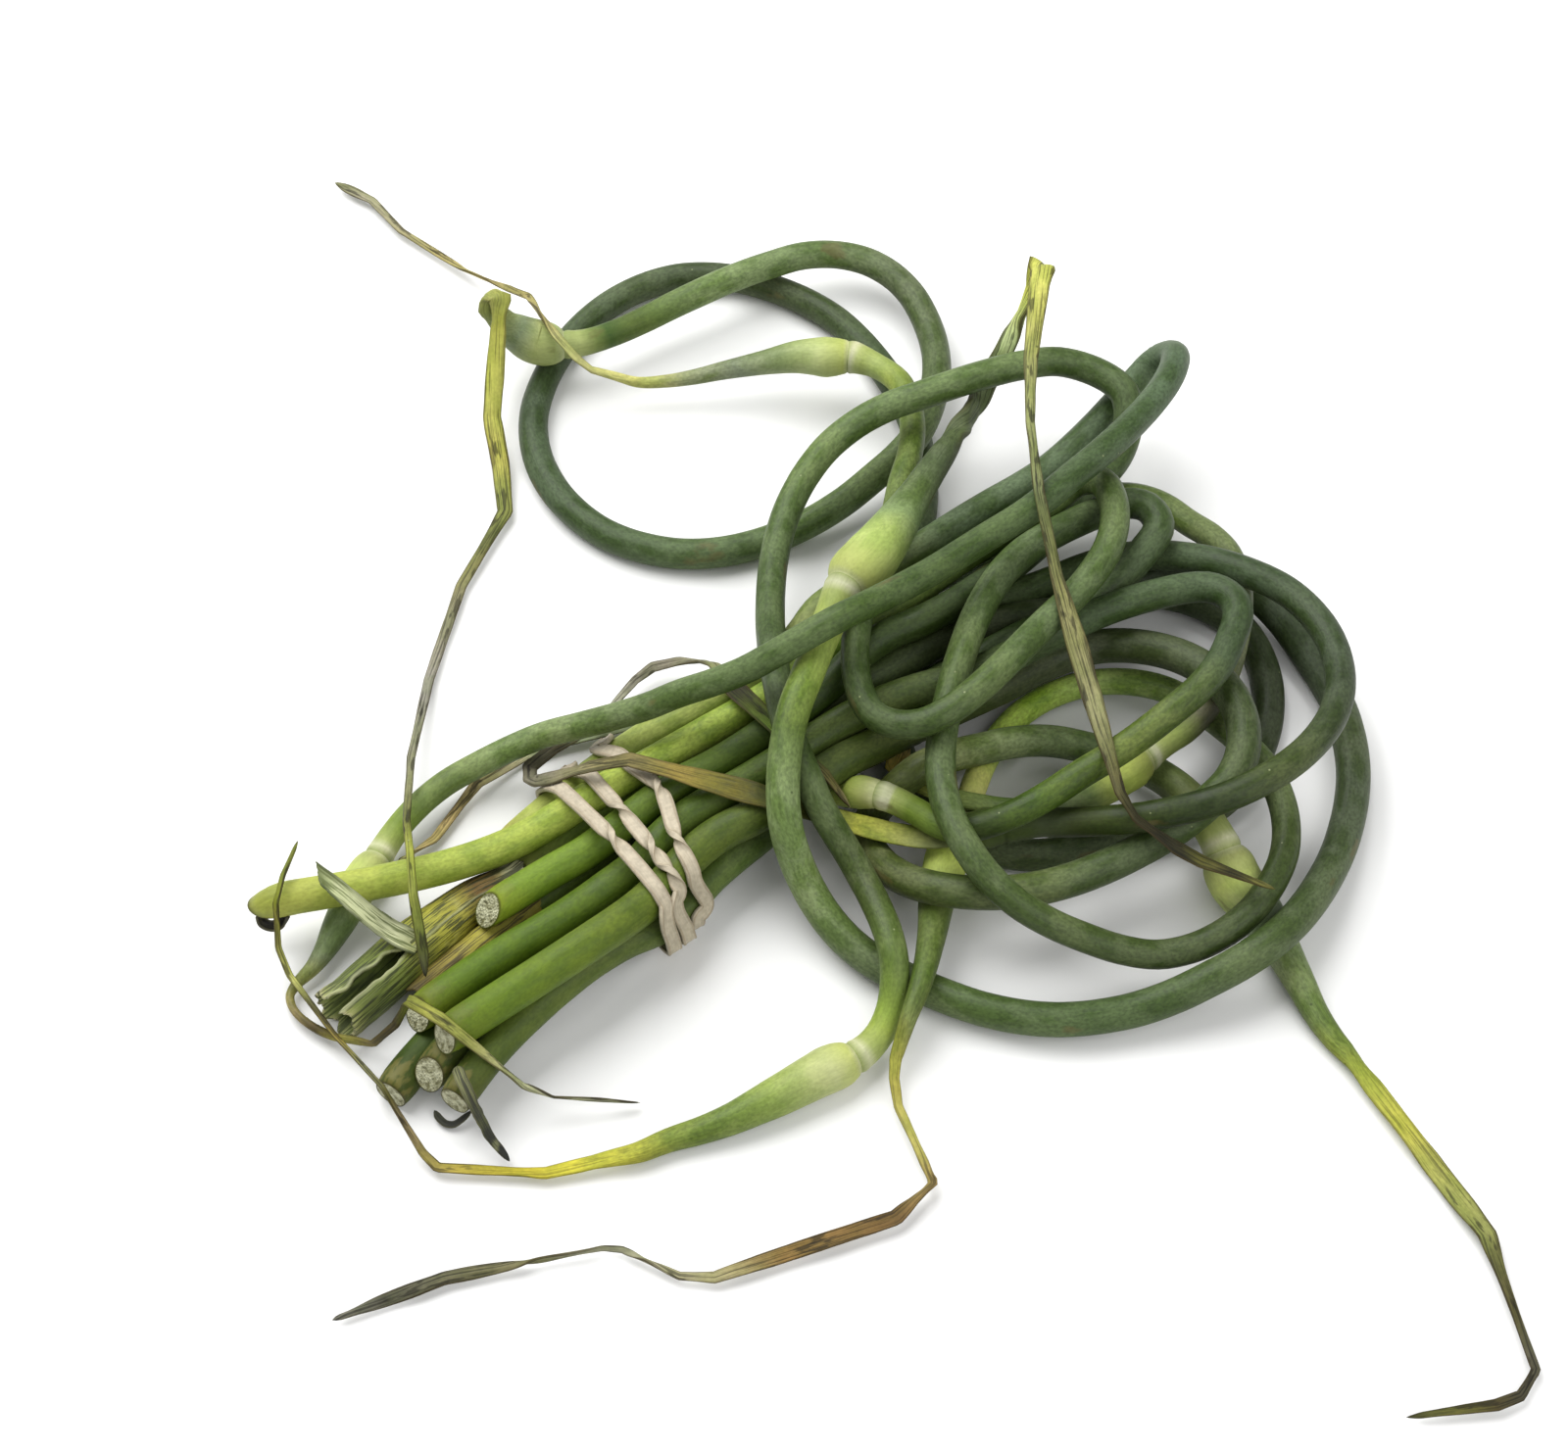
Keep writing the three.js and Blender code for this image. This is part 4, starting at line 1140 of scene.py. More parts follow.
        shares[-1] = 0
        wide, thick, along, arcs = (
            np.concatenate([np.full(len(self.FACE), first), row])
            for first, row in ((s.wide[0], s.wide), (s.thick[0], s.thick), (-ring, s.arc - ring), (0, s.arc))
        )
        return Sheet.rolled(place, (cos, sin), (wide, thick), arcs, along, shares)

    def cut_face(self, rim: np.ndarray, cos: np.ndarray) -> np.ndarray:
        """Fills the cut end with rings of the rim drawn in, a little uneven.

        Args:
            rim: the places of the first row of the skin.
            cos: the cosine of each place's angle.

        Returns:
            The rows of the face, from its middle outwards.
        """
        middle = rim[:-1].mean(axis=0)
        ahead = self.strand.tangent[0]
        rows = []
        for share in self.FACE:
            row = middle + (rim - middle) * share
            bumps = [waver(2.1 * c * share, share * 3, j % self.segments * 0.4) for j, c in enumerate(cos)]
            dips = 0.3 * MM * np.array(bumps)
            offset = 0.2 * MM * (1 - share**6) + dips * (0 if share == 0 else 1 - share**4)
            rows.append(row + np.outer(offset, ahead))
        return np.array(rows)

    @staticmethod
    def mark_cut(bm: bmesh.types.BMesh) -> None:
        """Gives the faces of the cut, inside its outermost ring, the second material.

        Args:
            bm: the scape's mesh.
        """
        section = bm.verts.layers.float_vector["section"]
        straight = bm.verts.layers.float_vector["straight"]
        for face in bm.faces:
            if all(vert[straight].z < 0.1 * MM and vert[section].z < 0.97 for vert in face.verts):
                face.material_index = 1


@cache
def cut_flesh() -> bpy.types.Material:
    """The one material that every cut end shares."""
    return CutFlesh().build()


# These colour stops, from cut to ring and from ring to tip, are the output of another program, but for ten of
# them. They aren't chosen by hand. They hold painted shade and painted light. Stretches that lie deep in the
# bunch, some butts and some beaks are painted darker than their skin, and a few stretches in shade, such as
# the neck of scape_09, are painted lighter.
SCAPES = (
    Scape(
        "scape_01",
        256,
        Butt.DULL,
        "-994 546128, -982 4e6325, -949 495c20, -899 4b6128, -849 4c6233, -799 4e663c, -749 47563d, "
        "-699 424c3c, -649 526147, -599 59674f, -549 545f4b, -499 4e5f46, -449 495b40, -399 4e5b42, "
        "-349 506049, -299 475844, -249 526549, -199 657b54, -149 60724e, -105 616e56, -70 728760, "
        "-45 7f9469, -28 576e37, -18 5f713b, -10 44632c",
        "0 c9d0b0, 1.5 adbb80, 7 adb781, 14 83937f, 19 8b9a71, 28 9da366, 39 a4a551, 52 c5c76a, 61 cacb72, "
        "75 b6b360, 90 919857, 103 707648, 113 908d63, 150 959399, 192 949579, 207 6a6d42, 227 a0a953, "
        "245 6a7437, 255 32301e",
        hip=0.8,
        fuller=((-330, 1.04), (-280, 1.15), (-40, 1.15), (-14, 1.08)),
        limp_from=15 * MM,
        limp_run=8 * MM,
    ),
    Scape(
        "scape_02",
        194,
        Butt.FRESH,
        "-499 bdc466, -454 acbe5a, -404 b0c45c, -354 809c48, -304 5d733d, -254 5c6e48, -204 637752, "
        "-154 4e5f3e, -105 526540, -28 7b904e, -18 93a456, -10 a9ba79",
        "0 d0d6b2, 1.5 c5d182, 8 c3d09d, 18 93a382, 30 788577, 45 99a380, 58 dddc90, 72 d3d297, 82 babd86, "
        "95 aea472, 150 b2a778, 179 afab9e, 194 838469",
        hip=0.35,
        slant=(0.1, -1.3),
        set_back=0.6,
        droop=0.5,
        sag=(15, 61, 90, 0, -2.9, -2.7),
    ),
    Scape(
        "scape_03",
        340,
        Butt.DULL,
        "-615 4e5921, -603 455a1e, -570 476021, -520 4f672e, -470 4d5f38, -420 4c5840, -370 414f3d, "
        "-320 455242, -270 556250, -220 546447, -170 516641, -105 687a59, -70 94aa80, -45 566c31, "
        "-28 91a857, -18 98ad5e, -10 abbb6b",
        "0 d0d6b0, 1.5 c7d183, 12 bcd084, 27 7d956b, 39 60724e, 51 56654b, 79 667257, 95 7f8f73, "
        "104 ccdead, 112 e2eea8, 120 cad167, 149 c4c376, 162 9b9f6a, 186 969d70, 207 737b59, 225 696e46, "
        "238 99976f, 268 959575, 285 6b6a48, 297 3a3622, 306 2c2a1c, 316 3a3826, 322 6a6838, 327 35331f, "
        "333 77753f, 340 5c5a34",
        plump=1.02,
        slant=(0.0, 0.05),
    ),
    Scape(
        "scape_04",
        159,
        Butt.FRESH,
        "-517 d5d085, -505 bcca70, -472 adbd6a, -422 8f9d63, -372 70866a, -272 566b56, -172 4b5f38, "
        "-105 5f744d, -70 788b63, -45 7d9167, -28 748753, -18 7d9257, -10 889f46",
        "0 ccd2b4, 1.5 b8c08a, 7 c7d685, 20 80966c, 31 7b896b, 37 949a62, 42 afa474, 48 938662, 55 52472a, "
        "62 9f9b4d, 69 897e51, 76 635830, 84 484020, 90 666d28, 98 9c9e4e, 113 a6a86b, 128 bbbda5, "
        "145 b7b7a8, 159 969887",
        slim=1.15,
    ),
    Scape(
        "scape_05",
        158,
        Butt.FRESH,
        "-365 82932a, -353 617e1b, -320 5c761d, -220 596a3e, -170 4d6144, -105 465741, -70 6f8042, "
        "-45 455d22, -28 374620, -18 748d41, -10 728a36",
        "0 cdd2ac, 1.5 bdc48e, 6 c8db78, 30 bad37d, 69 9ab583, 82 7e8a70, 95 89977f, 108 8f9a83, "
        "120 d6cdb2, 135 c3ac82, 150 cebb8f, 158 eff0c5",
        hip=0.35,
        plump=1.06,
    ),
    Scape(
        "scape_06",
        82,
        Butt.FRESH,
        "-302 adb96c, -290 98b356, -257 8aaa47, -157 5e7e40, -105 718455, -45 6d7858, -18 676659, -10 8fa05b",
        "0 c8cda8, 1.5 aab36c, 7 d6e780, 18 697c53, 27 434f3e, 35 566d44, 51 879c5b, 64 afb95e, 71 e4d272, "
        "75 e5cf8a, 85 5f5952",
        hip=0.8,
        sag=(255, 288, 312, 1.2, -2.0, 0),
    ),
    Scape(
        "scape_07",
        186,
        Butt.FRESH,
        "-498 738825, -486 6a8521, -453 697d29, -403 546529, -353 4a5732, -303 4f5944, -203 58694a, "
        "-153 5a6744, -105 70774f, -70 869970, -45 4f633f, -28 86956b, -18 7b865e, -10 89926c",
        "0 c6ccae, 1.5 b4bc84, 8 dded9b, 20 92a596, 38 83956c, 51 748952, 65 95a343, 83 c7c55d, 104 a0a565, "
        "114 90955e, 124 67653f, 137 534f34, 147 58564a, 158 4a463c, 165 51482a, 174 696832, 186 44432a",
        fuller=((-45, 1.04), (-14, 1.16)),
    ),
    Scape(
        "scape_08",
        210,
        Butt.FRESH,
        "-516 9bb135, -504 7b9931, -471 627b29, -421 435826, -371 38482b, -321 445638, -271 607450, "
        "-221 6f855a, -105 4a5b3e, -70 5c6d49, -45 626f4e, -28 697d4b, -20 768e44, -15 8aa44b, -10 9fb359",
        "0 d4d7bc, 1.5 cfd794, 7 c6cfa3, 22 98ad63, 37 7c924c, 47 7c8f3f, 73 e0d94d, 87 c0b43e, 102 b2a154, "
        "110 9a8b66, 119 776b54, 124 585329, 137 888966, 149 9c8b44, 160 625f40, 169 bdbe78, 185 8b8747, "
        "192 717a1d, 210 868c4a",
        plump=1.1,
        slim=0.74,
        slant=(0.0, 0.85),
    ),
    Scape(
        "scape_09",
        250,
        Butt.DULL,
        "-628 58622a, -616 586a29, -583 67783a, -533 5f7440, -433 4c6040, -383 54664b, -333 667a56, "
        # Painted light: the neck's last stops, up to near white, lighten it against the shade it lies in.
        "-183 4b593a, -133 556443, -105 708457, -70 aac679, -45 b9dc63, -28 cdee79, -18 faffa0, -10 ffffaf",
        "0 d2d6b8, 1.5 c2ca90, 8 e9ff90, 19 8b9f66, 30 657642, 46 5f743c, 57 7b8a53, 67 b0ae59, 76 a19b4e, "
        "87 c0ba6f, 100 a99461, 111 745b39, 141 8f7448, 153 a39b75, 162 bdb5a1, 182 96988b, 203 7f7b5f, "
        "235 5c5c54, 250 7d7c7a",
        slant=(0.0, 0.15),
    ),
    Scape(
        "scape_10",
        272,
        Butt.DULL,
        "-399 556a2b, -387 536c29, -354 758c45, -304 708a52, -154 465742, -105 455241, -70 465334, "
        # Painted shade: the last stretch of the stem before the ring, the ring and the start of the head are
        # dark where they lie deep under other stems.
        "-45 2d3b1c, -28 3c4a1f, -18 323d1b, -10 4b573f",
        "0 46562c, 6 596a3b, 11 728454, 18 8a9465, 28 afb55d, 38 abb04c, 46 6b7948, 53 4c4d16, 63 494d17, "
        "74 82782e, 85 8d7e43, 108 8c8669, 125 7e7b77, 151 423e28, 158 6a6f4a, 170 a8a8a6, 188 928c85, "
        "212 8f9374, 224 36331d, 234 505d25, 244 8aac53, 253 4a5236, 263 766e48, 272 938c6b",
        ring="-6.5 46562c, 0 4a5a2e",
        hip=0.5,
    ),
)


# --- Rubber band ---


@dataclass
class RubberBand:
    """One loop of flat rubber, wound three times round the stems, with half twists where it was pulled over.

    Args:
        node: its CAD node.
        cad_section: the thickness and width of the CAD band.
        width: its width.
        thickness: its thickness.
        rolled_width: its width where it turns over.
        rolled_thickness: its thickness there.
        lip: how much thicker it is along both edges.
        roll: how far it leans to and fro, in radians.
        twist_run: half the length that it takes to turn over.
        lift: how far a twist stands off.
        slack: how far the band stands off elsewhere.
        step: the length of its faces.
        segments: the number of faces round it.
        pressed: the height below which the weight of the bunch presses the band flat on the floor.
        twists: places near which the ribbon turns over, in millimetres.
    """

    node: str = "rubber_band"
    cad_section: tuple[float, float] = (1.1 * MM, 4.0 * MM)
    width: float = 3.9 * MM
    thickness: float = 1.1 * MM
    rolled_width: float = 2.5 * MM
    rolled_thickness: float = 1.7 * MM
    lip: float = 0.7
    roll: float = 0.35
    twist_run: float = 5 * MM
    lift: float = 0.6 * MM
    slack: float = 0.25 * MM
    step: float = 0.8 * MM
    segments: int = 20
    pressed: float = 1.5 * MM
    twists: Route = (
        (-62.6, -50.2, 25.9),
        (-46.8, -50.6, 27.0),
        (-52.4, -33.7, 24.5),
        (-48.9, -59.7, 27.6),
        (-53.2, -53.1, 26.8),
        (-60.6, -41.4, 24.7),
    )

    # How close the CAD section's lengths and corners are to those given.
    EXACT = 0.01 * MM
    SQUARE = 0.02

    def build(self) -> None:
        """Makes the band, which stands for its CAD node."""
        bm = self.skin(*self.ribbon(*self.centreline())).mesh()
        lowest = min(vert.co.z for vert in bm.verts)
        for vert in bm.verts:
            if vert.co.z < self.pressed:
                vert.co.z = self.pressed * (vert.co.z - lowest) / (self.pressed - lowest)
        finished(self.node, bm, [BandRubber().build()])

    def centreline(self) -> tuple[np.ndarray, np.ndarray]:
        """Reads the middle line of the CAD band.

        Returns:
            The places of its sections and the outward direction at each, in order round the loop.
        """
        bm = merged(self.node)
        ring = self.section_of(min(bm.verts, key=lambda v: (round(v.co.z, 5), v.co.x)))
        seen: set[bmesh.types.BMVert] = set()
        middles: list[np.ndarray] = []
        through: list[np.ndarray] = []
        while ring is not None:
            seen.update(ring)
            corners = np.array([v.co for v in ring], float)
            middles.append(corners.mean(axis=0))
            through.append(unit(corners[1] - corners[0]))
            linked = {edge.other_vert(vert) for vert in ring for edge in vert.link_edges} - seen
            linked = sorted(linked, key=lambda vert: vert.index)
            ring = next((r for r in map(self.section_of, linked) if r and not set(r) & seen), None)
        bm.free()
        place = np.array(middles)
        return place, self.facing_out(place, np.array(through))

    def section_of(self, vert: bmesh.types.BMVert) -> list[bmesh.types.BMVert] | None:
        """Finds the four corners of the section that a corner belongs to.

        Args:
            vert: one corner.

        Returns:
            The corner, its neighbour through the thickness, and the two across the width; None if it isn't a
            section.
        """
        thick, wide = self.cad_section
        through = min(vert.link_edges, key=lambda e: abs(e.calc_length() - thick)).other_vert(vert)
        out = through.co - vert.co
        if abs(out.length - thick) > self.EXACT:
            return None
        for flat in vert.link_edges:
            across = flat.other_vert(vert)
            square = abs((across.co - vert.co).normalized() @ out.normalized()) < self.SQUARE
            if abs(flat.calc_length() - wide) >= self.EXACT or not square:
                continue
            for other in (edge.other_vert(across) for edge in across.link_edges):
                if (other.co - across.co - out).length < self.EXACT:
                    return [vert, through, across, other]
        return None

    @staticmethod
    def facing_out(place: np.ndarray, through: np.ndarray) -> np.ndarray:
        """Turns each direction through the thickness outward from the stems inside the loop.

        Args:
            place: the middle line.
            through: a direction through the thickness at each place.

        Returns:
            The outward directions.
        """
        from_middle = place - place.mean(axis=0)
        axis = np.linalg.svd(from_middle)[2][2]
        from_middle = from_middle - np.outer(from_middle @ axis, axis)
        return through * np.sign(np.sum(through * from_middle, axis=1))[:, None]

    def ribbon(self, place: np.ndarray, outward: np.ndarray) -> tuple[Strand, np.ndarray, np.ndarray]:
        """Cuts the loop into even rows and places the half twists.

        Args:
            place: the middle line.
            outward: its outward directions.

        Returns:
            The strand, how far each row is turned in radians, and how much of a twist there is at each, 0
            to 1.
        """
        closed = np.vstack([place, place[:1]])
        sides = np.vstack([outward, outward[:1]])
        count = len(closed)
        sizes = np.tile([self.width / 2, self.thickness / 2], (count, 1))
        strand = Strand.through(np.hstack([closed, sides, sizes]), self.step)
        turned = self.roll * np.array([waver(arc / (11 * MM), 0.5, 3) for arc in strand.arc])
        turned *= np.minimum(1, np.minimum(strand.arc, strand.length - strand.arc) / (10 * MM))
        rolled = np.zeros(len(strand.arc))
        for number, twist in enumerate(self.twists):
            nearest = int(np.argmin(np.linalg.norm(strand.place - np.array(twist) * MM, axis=1)))
            past = strand.arc - strand.arc[nearest]
            turned += math.pi * ease(past, -self.twist_run, self.twist_run) * (1 if number % 2 else -1)
            rolled = np.maximum(rolled, np.exp(-((past / (0.5 * self.twist_run)) ** 2)))
        return strand, turned, rolled

    def skin(self, strand: Strand, turned: np.ndarray, rolled: np.ndarray) -> Sheet:
        """Rolls the rubber round the middle line.

        Args:
            strand: the middle line, with its sides outward.
            turned: how far each row is turned.
            rolled: how much of a twist there is at each row.

        Returns:
            The places of the skin.
        """
        cos, sin = circle(self.segments)
        cos = np.sign(cos) * np.abs(cos) ** 0.5
        sin = np.sign(sin) * np.abs(sin) ** 0.75
        half_wide = self.width / 2 + (self.rolled_width - self.width) / 2 * rolled
        half_thick = self.thickness / 2 + (self.rolled_thickness - self.thickness) / 2 * rolled
        sin = sin * (1 + self.lip * ease(np.abs(cos), 0.6, 0.9))
        outward = strand.side
        flat = np.cross(strand.tangent, outward)
        turn_flat = flat * np.cos(turned)[:, None] + outward * np.sin(turned)[:, None]
        turn_out = outward * np.cos(turned)[:, None] - flat * np.sin(turned)[:, None]
        middle = strand.place + outward * (self.slack + self.lift * rolled)[:, None]
        place = middle[:, None, :] + turn_flat[:, None, :] * (half_wide[:, None] * cos[None, :])[:, :, None]
        place = place + turn_out[:, None, :] * (half_thick[:, None] * sin[None, :])[:, :, None]
        return Sheet.rolled(place, (cos, sin), (half_wide, half_thick), strand.arc)


# --- Leaf sheath and dry strips ---


@dataclass
class LeafSheath:
    """The split sheath among the butts: a trough of leaf base, ragged at its mouth, slit where a strip tore.

    Args:
        node: its CAD node.
        opening: how wide the slit is, in radians.
        slit_middle: the angle of its middle.
        slit_end: how far it runs from the mouth.
        wall: the thickness of the leaf.
        columns: the number of places round it.
        ridges: the number of its ribs.
        ridge: their height.
        dent: the depth of its dents.
        mouth: how far in from the mouth it flares and is ragged.
        flare: how far it flares.
        tear: over what length the slit closes.
        tuck: how far one lip tucks under the other past the slit.
        ragged: the size of the large and small rags of its ends.
        route: rows of x, y, z, width and thickness in millimetres, from the mouth.
    """

    node: str = "leaf_sheath"
    opening: float = 0.48
    slit_middle: float = 1.72
    slit_end: float = 25 * MM
    wall: float = 0.8 * MM
    columns: int = 96
    ridges: int = 30
    ridge: float = 0.07 * MM
    dent: float = 0.4 * MM
    mouth: float = 6 * MM
    flare: float = 0.5 * MM
    tear: float = 7 * MM
    tuck: float = 0.9 * MM
    ragged: tuple[float, float] = (2.2 * MM, 0.9 * MM)
    route: Route = (
        (-129.2, -87.0, 6.8, 13.5, 12.4),
        (-125.5, -83.4, 6.8, 13.8, 12.6),
        (-121.2, -78.7, 6.8, 14.2, 12.6),
        (-116.5, -73.7, 6.8, 14.0, 12.4),
        (-111.8, -68.6, 6.8, 13.8, 12.2),
        (-107.0, -63.7, 6.9, 13.0, 11.8),
        (-102.5, -59.3, 7.0, 12.0, 11.2),
        (-96.8, -54.4, 7.1, 10.8, 10.2),
        (-91.4, -51.2, 7.1, 9.8, 9.6),
        (-87.6, -48.9, 7.1, 9.4, 9.3),
        (-85.2, -46.7, 7.2, 9.5, 9.4),
    )

    def build(self) -> None:
        """Makes the trough, which stands for the CAD node."""
        skins = [self.outside().build(), self.lining().build()]
        trough = finished(self.node, self.trough().mesh(merge=False), skins)
        wall(trough, self.wall, offset=-1, lining=1)

    def outside(self) -> DryLeaf:
        """The finish of the trough.

        Returns:
            Olive leaf, with dark fibres, a whitish patch and a yellow-green one.
        """
        course = Course.read(
            "0 d2ceaa, 1.5 a9ad70, 4 86944c, 10 7c8c42, 18 8a9a44, 24 a4aa48, 34 c6c248, 41 aca440, "
            "46 8a6a34, 51 927a48, 54 bcb080, 56 e4e0c8, 62 e8e5d2"
        )
        look = {"edge_from": 0.95, "scar_amount": 0.3, "fibre": 0.45 * MM}
        return DryLeaf("leaf_sheath_withered", course, "#343c18", "#c4c8aa", **look)

    def lining(self) -> DryLeaf:
        """The finish of the trough's inner side.

        Returns:
            Leaf that is still green and dark.
        """
        look = {"edge_amount": 0.4, "edge_from": 0.9, "scar_amount": 0.15}
        course = Course.read("0 c6ca94, 3 98a85e, 12 8ca050, 62 748446")
        return DryLeaf("leaf_sheath_lining", course, "#4c5a2a", "#a4ac7c", **look)

    def trough(self) -> Sheet:
        """Bends the sheath's wall, slit on the far upper side from the mouth to where the strip tore.

        Returns:
            The places of the wall.
        """
        strand = Strand.level(self.route)
        sheet = Sheet.blank(strand.arc, self.columns)
        turns = np.linspace(0, 1, self.columns)
        for i, arc in enumerate(strand.arc):
            mouth = float(ease(arc, self.mouth, 0))
            torn = float(ease(arc, self.slit_end, self.slit_end - self.tear))
            lips = 0.1 * waver(arc / (4 * MM), 0.3, 1), 0.12 * waver(arc / (3.2 * MM), 5.3, 1)
            gap = 0.05 + self.opening * torn * (1 + 0.25 * mouth)
            start = self.slit_middle + gap / 2 + lips[0] * torn
            sweep = 2 * math.pi - gap - (lips[0] - lips[1]) * torn + 0.35 * (1 - torn)
            for j, turn in enumerate(turns):
                angle = start + sweep * turn
                c, n = math.cos(angle), math.sin(angle)
                ridge = self.ridge * math.sin(self.ridges * angle + 3 * waver(arc / (15 * MM), angle, 0))
                dent = self.dent * waver(c * 1.2, n * 1.2, arc / (14 * MM))
                flare = self.flare * mouth * (1 + waver(2 * c, 2 * n, 0))
                tuck = self.tuck * (1 - torn) * float(ease(turn, 0.06, 0.0))
                out = ridge + dent + flare - tuck
                ragged = self.ragged[0] * waver(2 * c, 2 * n, 7) + self.ragged[1] * waver(8 * c, 8 * n, 3)
                ends = ragged * (mouth + 0.6 * float(ease(arc, strand.length - 3 * MM, strand.length)))
                sheet.place[i, j] = strand.place[i] + strand.side[i] * (strand.wide[i] + out) * c
                sheet.place[i, j] += strand.normal[i] * (strand.thick[i] + out) * n + strand.tangent[i] * ends
                sheet.straight[i, j] = (strand.wide[i] * c, strand.thick[i] * n, arc)
                sheet.section[i, j] = (2 * turn - 1, 0, 1)
        return sheet


@dataclass
class Peel:
    """A loose strip of skin or leaf, peeled back from where it grew: a shallow gutter with a torn end.

    Args:
        name: the piece's name.
        finish: its finish's name.
        course: its colours from where it grew to its end.
        colours: the colours of its fibres and of its edges.
        route: rows of x, y, z, width and thickness in millimetres.
        look: what else its finish has of its own.
        curl: how much its edges rise, as a share of its half width.
        tear: how aslant its end is torn.
        tear_run: how far in from its end it is torn.
        rag: the size of the rags of its end.
        ripple: the height of its ripples.
        thickness: the thickness of the leaf.
        columns: the number of places across it.
    """

    name: str
    finish: str
    course: str
    colours: tuple[str, str]
    route: Route
    look: dict[str, Any] = field(default_factory=dict)
    curl: float = 0.4
    tear: float = 2.4 * MM
    tear_run: float = 6 * MM
    rag: float = 0.7 * MM
    ripple: float = 0.2 * MM
    thickness: float = 0.6 * MM
    columns: int = 15

    def build(self) -> None:
        """Makes the strip."""
        mesh = self.gutter().mesh(merge=False)
        leaf = DryLeaf(self.finish, Course.read(self.course), *self.colours, **self.look)
        piece = finished(self.name, mesh, [leaf.build()], stands_for_node=False)
        wall(piece, self.thickness)

    def gutter(self) -> Sheet:
        """Bends the strip to a gutter with its edges up.

        Returns:
            The places of the strip.
        """
        strand = Strand.level(self.route)
        sheet = Sheet.blank(strand.arc, self.columns)
        across = np.linspace(-1, 1, self.columns)
        for i, arc in enumerate(strand.arc):
            curl = self.curl + 0.2 * waver(arc / (8 * MM), 2, 2)
            for j, u in enumerate(across):
                a = strand.wide[i] * (1 + 0.06 * waver(arc / (3 * MM), u * 2, 1))
                rise = curl * a * (u * u - 0.3) + self.ripple * waver(arc / (3 * MM), u * 3, 9)
                torn = -self.tear * u * float(ease(arc, strand.length - self.tear_run, strand.length))
                if torn:
                    torn += self.rag * waver(u * 4, arc / (2 * MM), 6)
                sheet.place[i, j] = strand.place[i] + strand.side[i] * a * u * (1 - 0.12 * u * u)
                sheet.place[i, j] += strand.normal[i] * rise + strand.tangent[i] * torn
                sheet.straight[i, j] = (a * u, 0, arc)
                sheet.section[i, j] = (u, 0, 1)
        return sheet


def wall(piece: bpy.types.Object, thickness: float, offset: float = 0.0, lining: int = 0) -> None:
    """Gives a sheet its thickness.

    Args:
        piece: the sheet.
        thickness: the wall's thickness.
        offset: the side it grows to, -1 to 1.
        lining: how many materials on from the outer side's the inner side's is.
    """
    solid = piece.modifiers.new("wall", "SOLIDIFY")
    solid.thickness = thickness
    solid.offset = offset
    solid.material_offset = lining


PEELS = (
    Peel(
        "leaf_sheath_flap",
        "leaf_sheath_inner_skin",
        "0 c4c898, 6 e8ecd4, 20 e0e6c8, 27 b8c29a, 30 7a8658, 34 3c442c",
        ("#67743f", "#4a5632"),
        (
            (-109.6, -71.0, 12.4, 6.8, 1.4),
            (-113.1, -69.8, 13.6, 7.0, 1.4),
            (-117.4, -68.4, 16.0, 6.6, 1.4),
            (-121.2, -67.0, 19.4, 6.0, 1.4),
            (-124.9, -64.9, 22.3, 5.4, 1.4),
            (-129.5, -61.4, 24.0, 4.9, 1.4),
            (-133.4, -58.6, 25.3, 4.2, 1.2),
        ),
        look={"edge_amount": 0.55, "scar_colour": "#f0f0e2"},
    ),
    Peel(
        "leaf_sheath_fold",
        "leaf_sheath_fold_withered",
        "0 a89a3c, 10 b2a840, 22 bcb242, 30 a8983c, 36 96863c, 40 77682e",
        ("#4a3a16", "#6a5024"),
        (
            (-80.0, -54.0, 10.0, 9.0, 1.0),
            (-86.0, -59.5, 9.6, 11.0, 1.0),
            (-92.5, -65.2, 9.0, 11.5, 1.0),
            (-99.5, -71.4, 8.2, 11.5, 1.0),
            (-106.0, -77.0, 7.4, 10.5, 1.0),
            (-110.2, -80.6, 6.6, 8.0, 1.0),
        ),
        look={"scar_amount": 0.2, "fibre": 0.45 * MM},
        curl=-0.9,
    ),
    Peel(
        "butt_peel",
        "butt_peel_withered",
        "0 4a463a, 4 2c2a24, 12 3a382e",
        ("#16150f", "#6a6650"),
        (
            (-148.8, -61.5, 11.2, 2.2, 1.0),
            (-148.5, -62.2, 9.2, 3.0, 1.0),
            (-146.9, -62.8, 8.0, 3.2, 1.0),
            (-144.6, -62.6, 8.0, 3.2, 1.0),
            (-142.8, -61.9, 9.6, 2.6, 1.0),
            (-141.9, -61.9, 11.4, 1.8, 1.0),
        ),
        look={"edge_amount": 0.5},
        curl=0.6,
        tear=0.8 * MM,
    ),
)


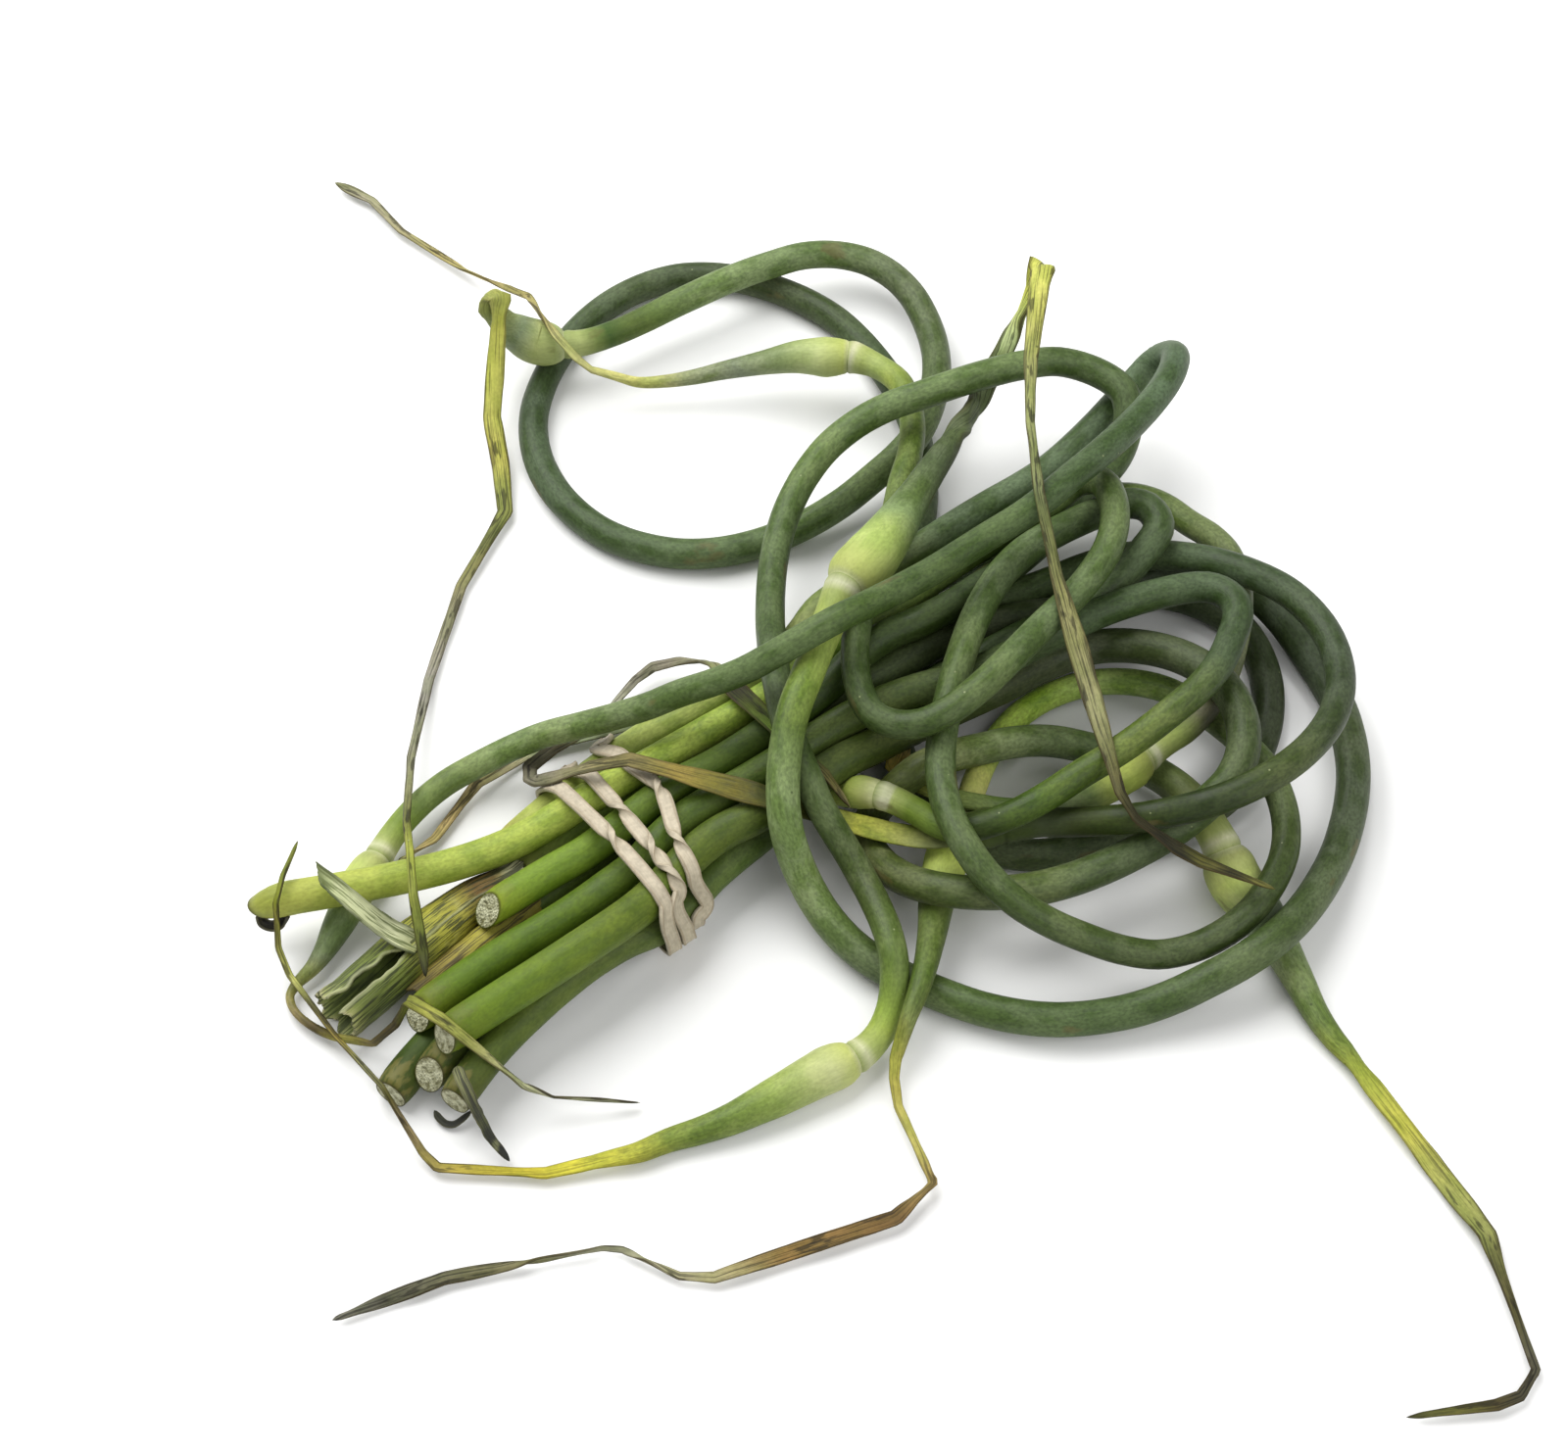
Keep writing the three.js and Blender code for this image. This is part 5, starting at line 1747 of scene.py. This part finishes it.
@dataclass
class DryStrip:
    """A dried remnant of leaf on the butts: flat, cupped and crumpled, round its CAD route.

    Args:
        node: its CAD node.
        course: its colours from one end to the other.
        fibre_colour: the colour of its fibres.
        narrow: its width, as a share of its CAD solid's.
        flat: its thickness, as a share of its CAD solid's.
        end: the length of the rounding of both ends.
        cup: how far its edges rise, as a share of its half width.
        ripple: the height of its ripples.
        segments: the number of faces round it.
    """

    node: str
    course: str
    fibre_colour: str
    narrow: float
    flat: float = 0.75
    end: float = 1.5 * MM
    cup: float = 0.22
    ripple: float = 0.2 * MM
    segments: int = 20

    def build(self) -> None:
        """Makes the strip, which stands for its CAD node."""
        s = Strand.through(CadSweep(self.node).keys(), 0.5 * MM)
        cos, sin = circle(self.segments)
        place = np.zeros((len(s.arc), self.segments + 1, 3))
        ends = np.sqrt(np.clip(np.minimum(s.arc, s.length - s.arc) / self.end, 0, 1))
        for i, arc in enumerate(s.arc):
            for j in range(self.segments + 1):
                c, n = cos[j], sin[j]
                a = self.narrow * s.wide[i] * ends[i] * (1 + 0.12 * waver(arc / (2.5 * MM), 3, c))
                lift = self.cup * a * (c * c - 0.4) + self.ripple * waver(c * 2, arc / (2.5 * MM), 5)
                thick = self.flat * s.thick[i] * ends[i]
                place[i, j] = s.place[i] + s.side[i] * a * c + s.normal[i] * (thick * n + lift)
        for end in (0, -1):
            place[end] = place[end].mean(axis=0)
        sheet = Sheet.rolled(place, (cos, sin), (s.wide, s.thick), s.arc)
        leaf = DryLeaf(f"{self.node}_papery", Course.read(self.course), self.fibre_colour, "#8a8560", 0.4)
        finished(self.node, sheet.mesh(), [leaf.build()])


STRIPS = (
    DryStrip(
        "dry_strip_01",
        "0 7d8158, 5 8a8c66, 10 6a6d4a, 14 44482f, 17 5e6240, 20 34372a, 24 1e2018",
        "#1f2118",
        0.6,
    ),
    DryStrip("dry_strip_02", "0 3f4231, 6 33352a, 12 46452f", "#20211a", 0.6, 0.5),
)


# --- Studio ---


@dataclass(frozen=True)
class Softbox:
    """A square area light that faces the bunch."""

    name: str
    place: tuple[float, float, float]
    size: float
    watts: float
    aim: tuple[float, float, float] = (0, 0, 0.02)

    def build(self) -> None:
        """Hangs the light and turns it to the middle of the bunch."""
        light = bpy.data.lights.new(self.name, "AREA")
        light.shape = "SQUARE"
        light.size = self.size
        light.energy = self.watts
        lamp = placed(self.name, light)
        lamp.location = self.place
        lamp.rotation_euler = (Vector(self.aim) - Vector(self.place)).to_track_quat("-Z", "Y").to_euler()


@dataclass
class Studio:
    """White floor, soft light from all round, and the camera."""

    floor_size: float = 6.0
    sky: float = 0.4
    target: tuple[float, float, float] = (-0.021473, 0.001988, 0.000456)
    elevation: float = 55.0
    distance: float = 0.9444
    lens: float = 85.0
    sensor: float = 36.0
    boxes: tuple[Softbox, ...] = (
        Softbox("key_softbox", (-0.5, 0.55, 1.1), 1.3, 29.0),
        Softbox("fill_softbox", (0.75, -0.7, 1.0), 1.3, 12.0),
    )

    def build(self) -> None:
        """Makes the floor, the lights and the camera."""
        self.floor()
        for box in self.boxes:
            box.build()
        self.surround()
        self.camera()
        bpy.context.scene.view_settings.view_transform = "Standard"

    def floor(self) -> None:
        """Lays the floor, which isn't part of the bunch."""
        bm = bmesh.new()
        bmesh.ops.create_grid(bm, x_segments=2, y_segments=2, size=self.floor_size / 2)
        mesh = bpy.data.meshes.new("floor")
        bm.to_mesh(mesh)
        bm.free()
        mesh.materials.append(StudioPaper().build())
        floor = placed("floor", mesh)

    def surround(self) -> None:
        """Lights the scene evenly from all round."""
        world = bpy.data.worlds.new("studio")
        world.use_nodes = True
        sky = world.node_tree.nodes["Background"]
        sky.inputs["Color"].default_value = (1, 1, 1, 1)
        sky.inputs["Strength"].default_value = self.sky
        bpy.context.scene.world = world

    def camera(self) -> None:
        """Aims the camera down at the bunch from the front."""
        data = bpy.data.cameras.new("camera")
        data.lens = self.lens
        data.sensor_width = self.sensor
        tilt = math.radians(self.elevation)
        back = Vector((0, -math.cos(tilt), math.sin(tilt)))
        eye = placed("camera", data)
        eye.location = Vector(self.target) + back * self.distance
        eye.rotation_euler = (math.pi / 2 - tilt, 0, 0)
        bpy.context.scene.camera = eye


def main() -> None:
    """Builds the bunch piece by piece, each reported as it is finished, then the studio."""
    logging.basicConfig(level=logging.INFO, format="%(message)s")
    for part in (*SCAPES, RubberBand(), LeafSheath(), *PEELS, *STRIPS, Studio()):
        part.build()
    bpy.context.view_layer.update()


if __name__ == "__main__":
    main()
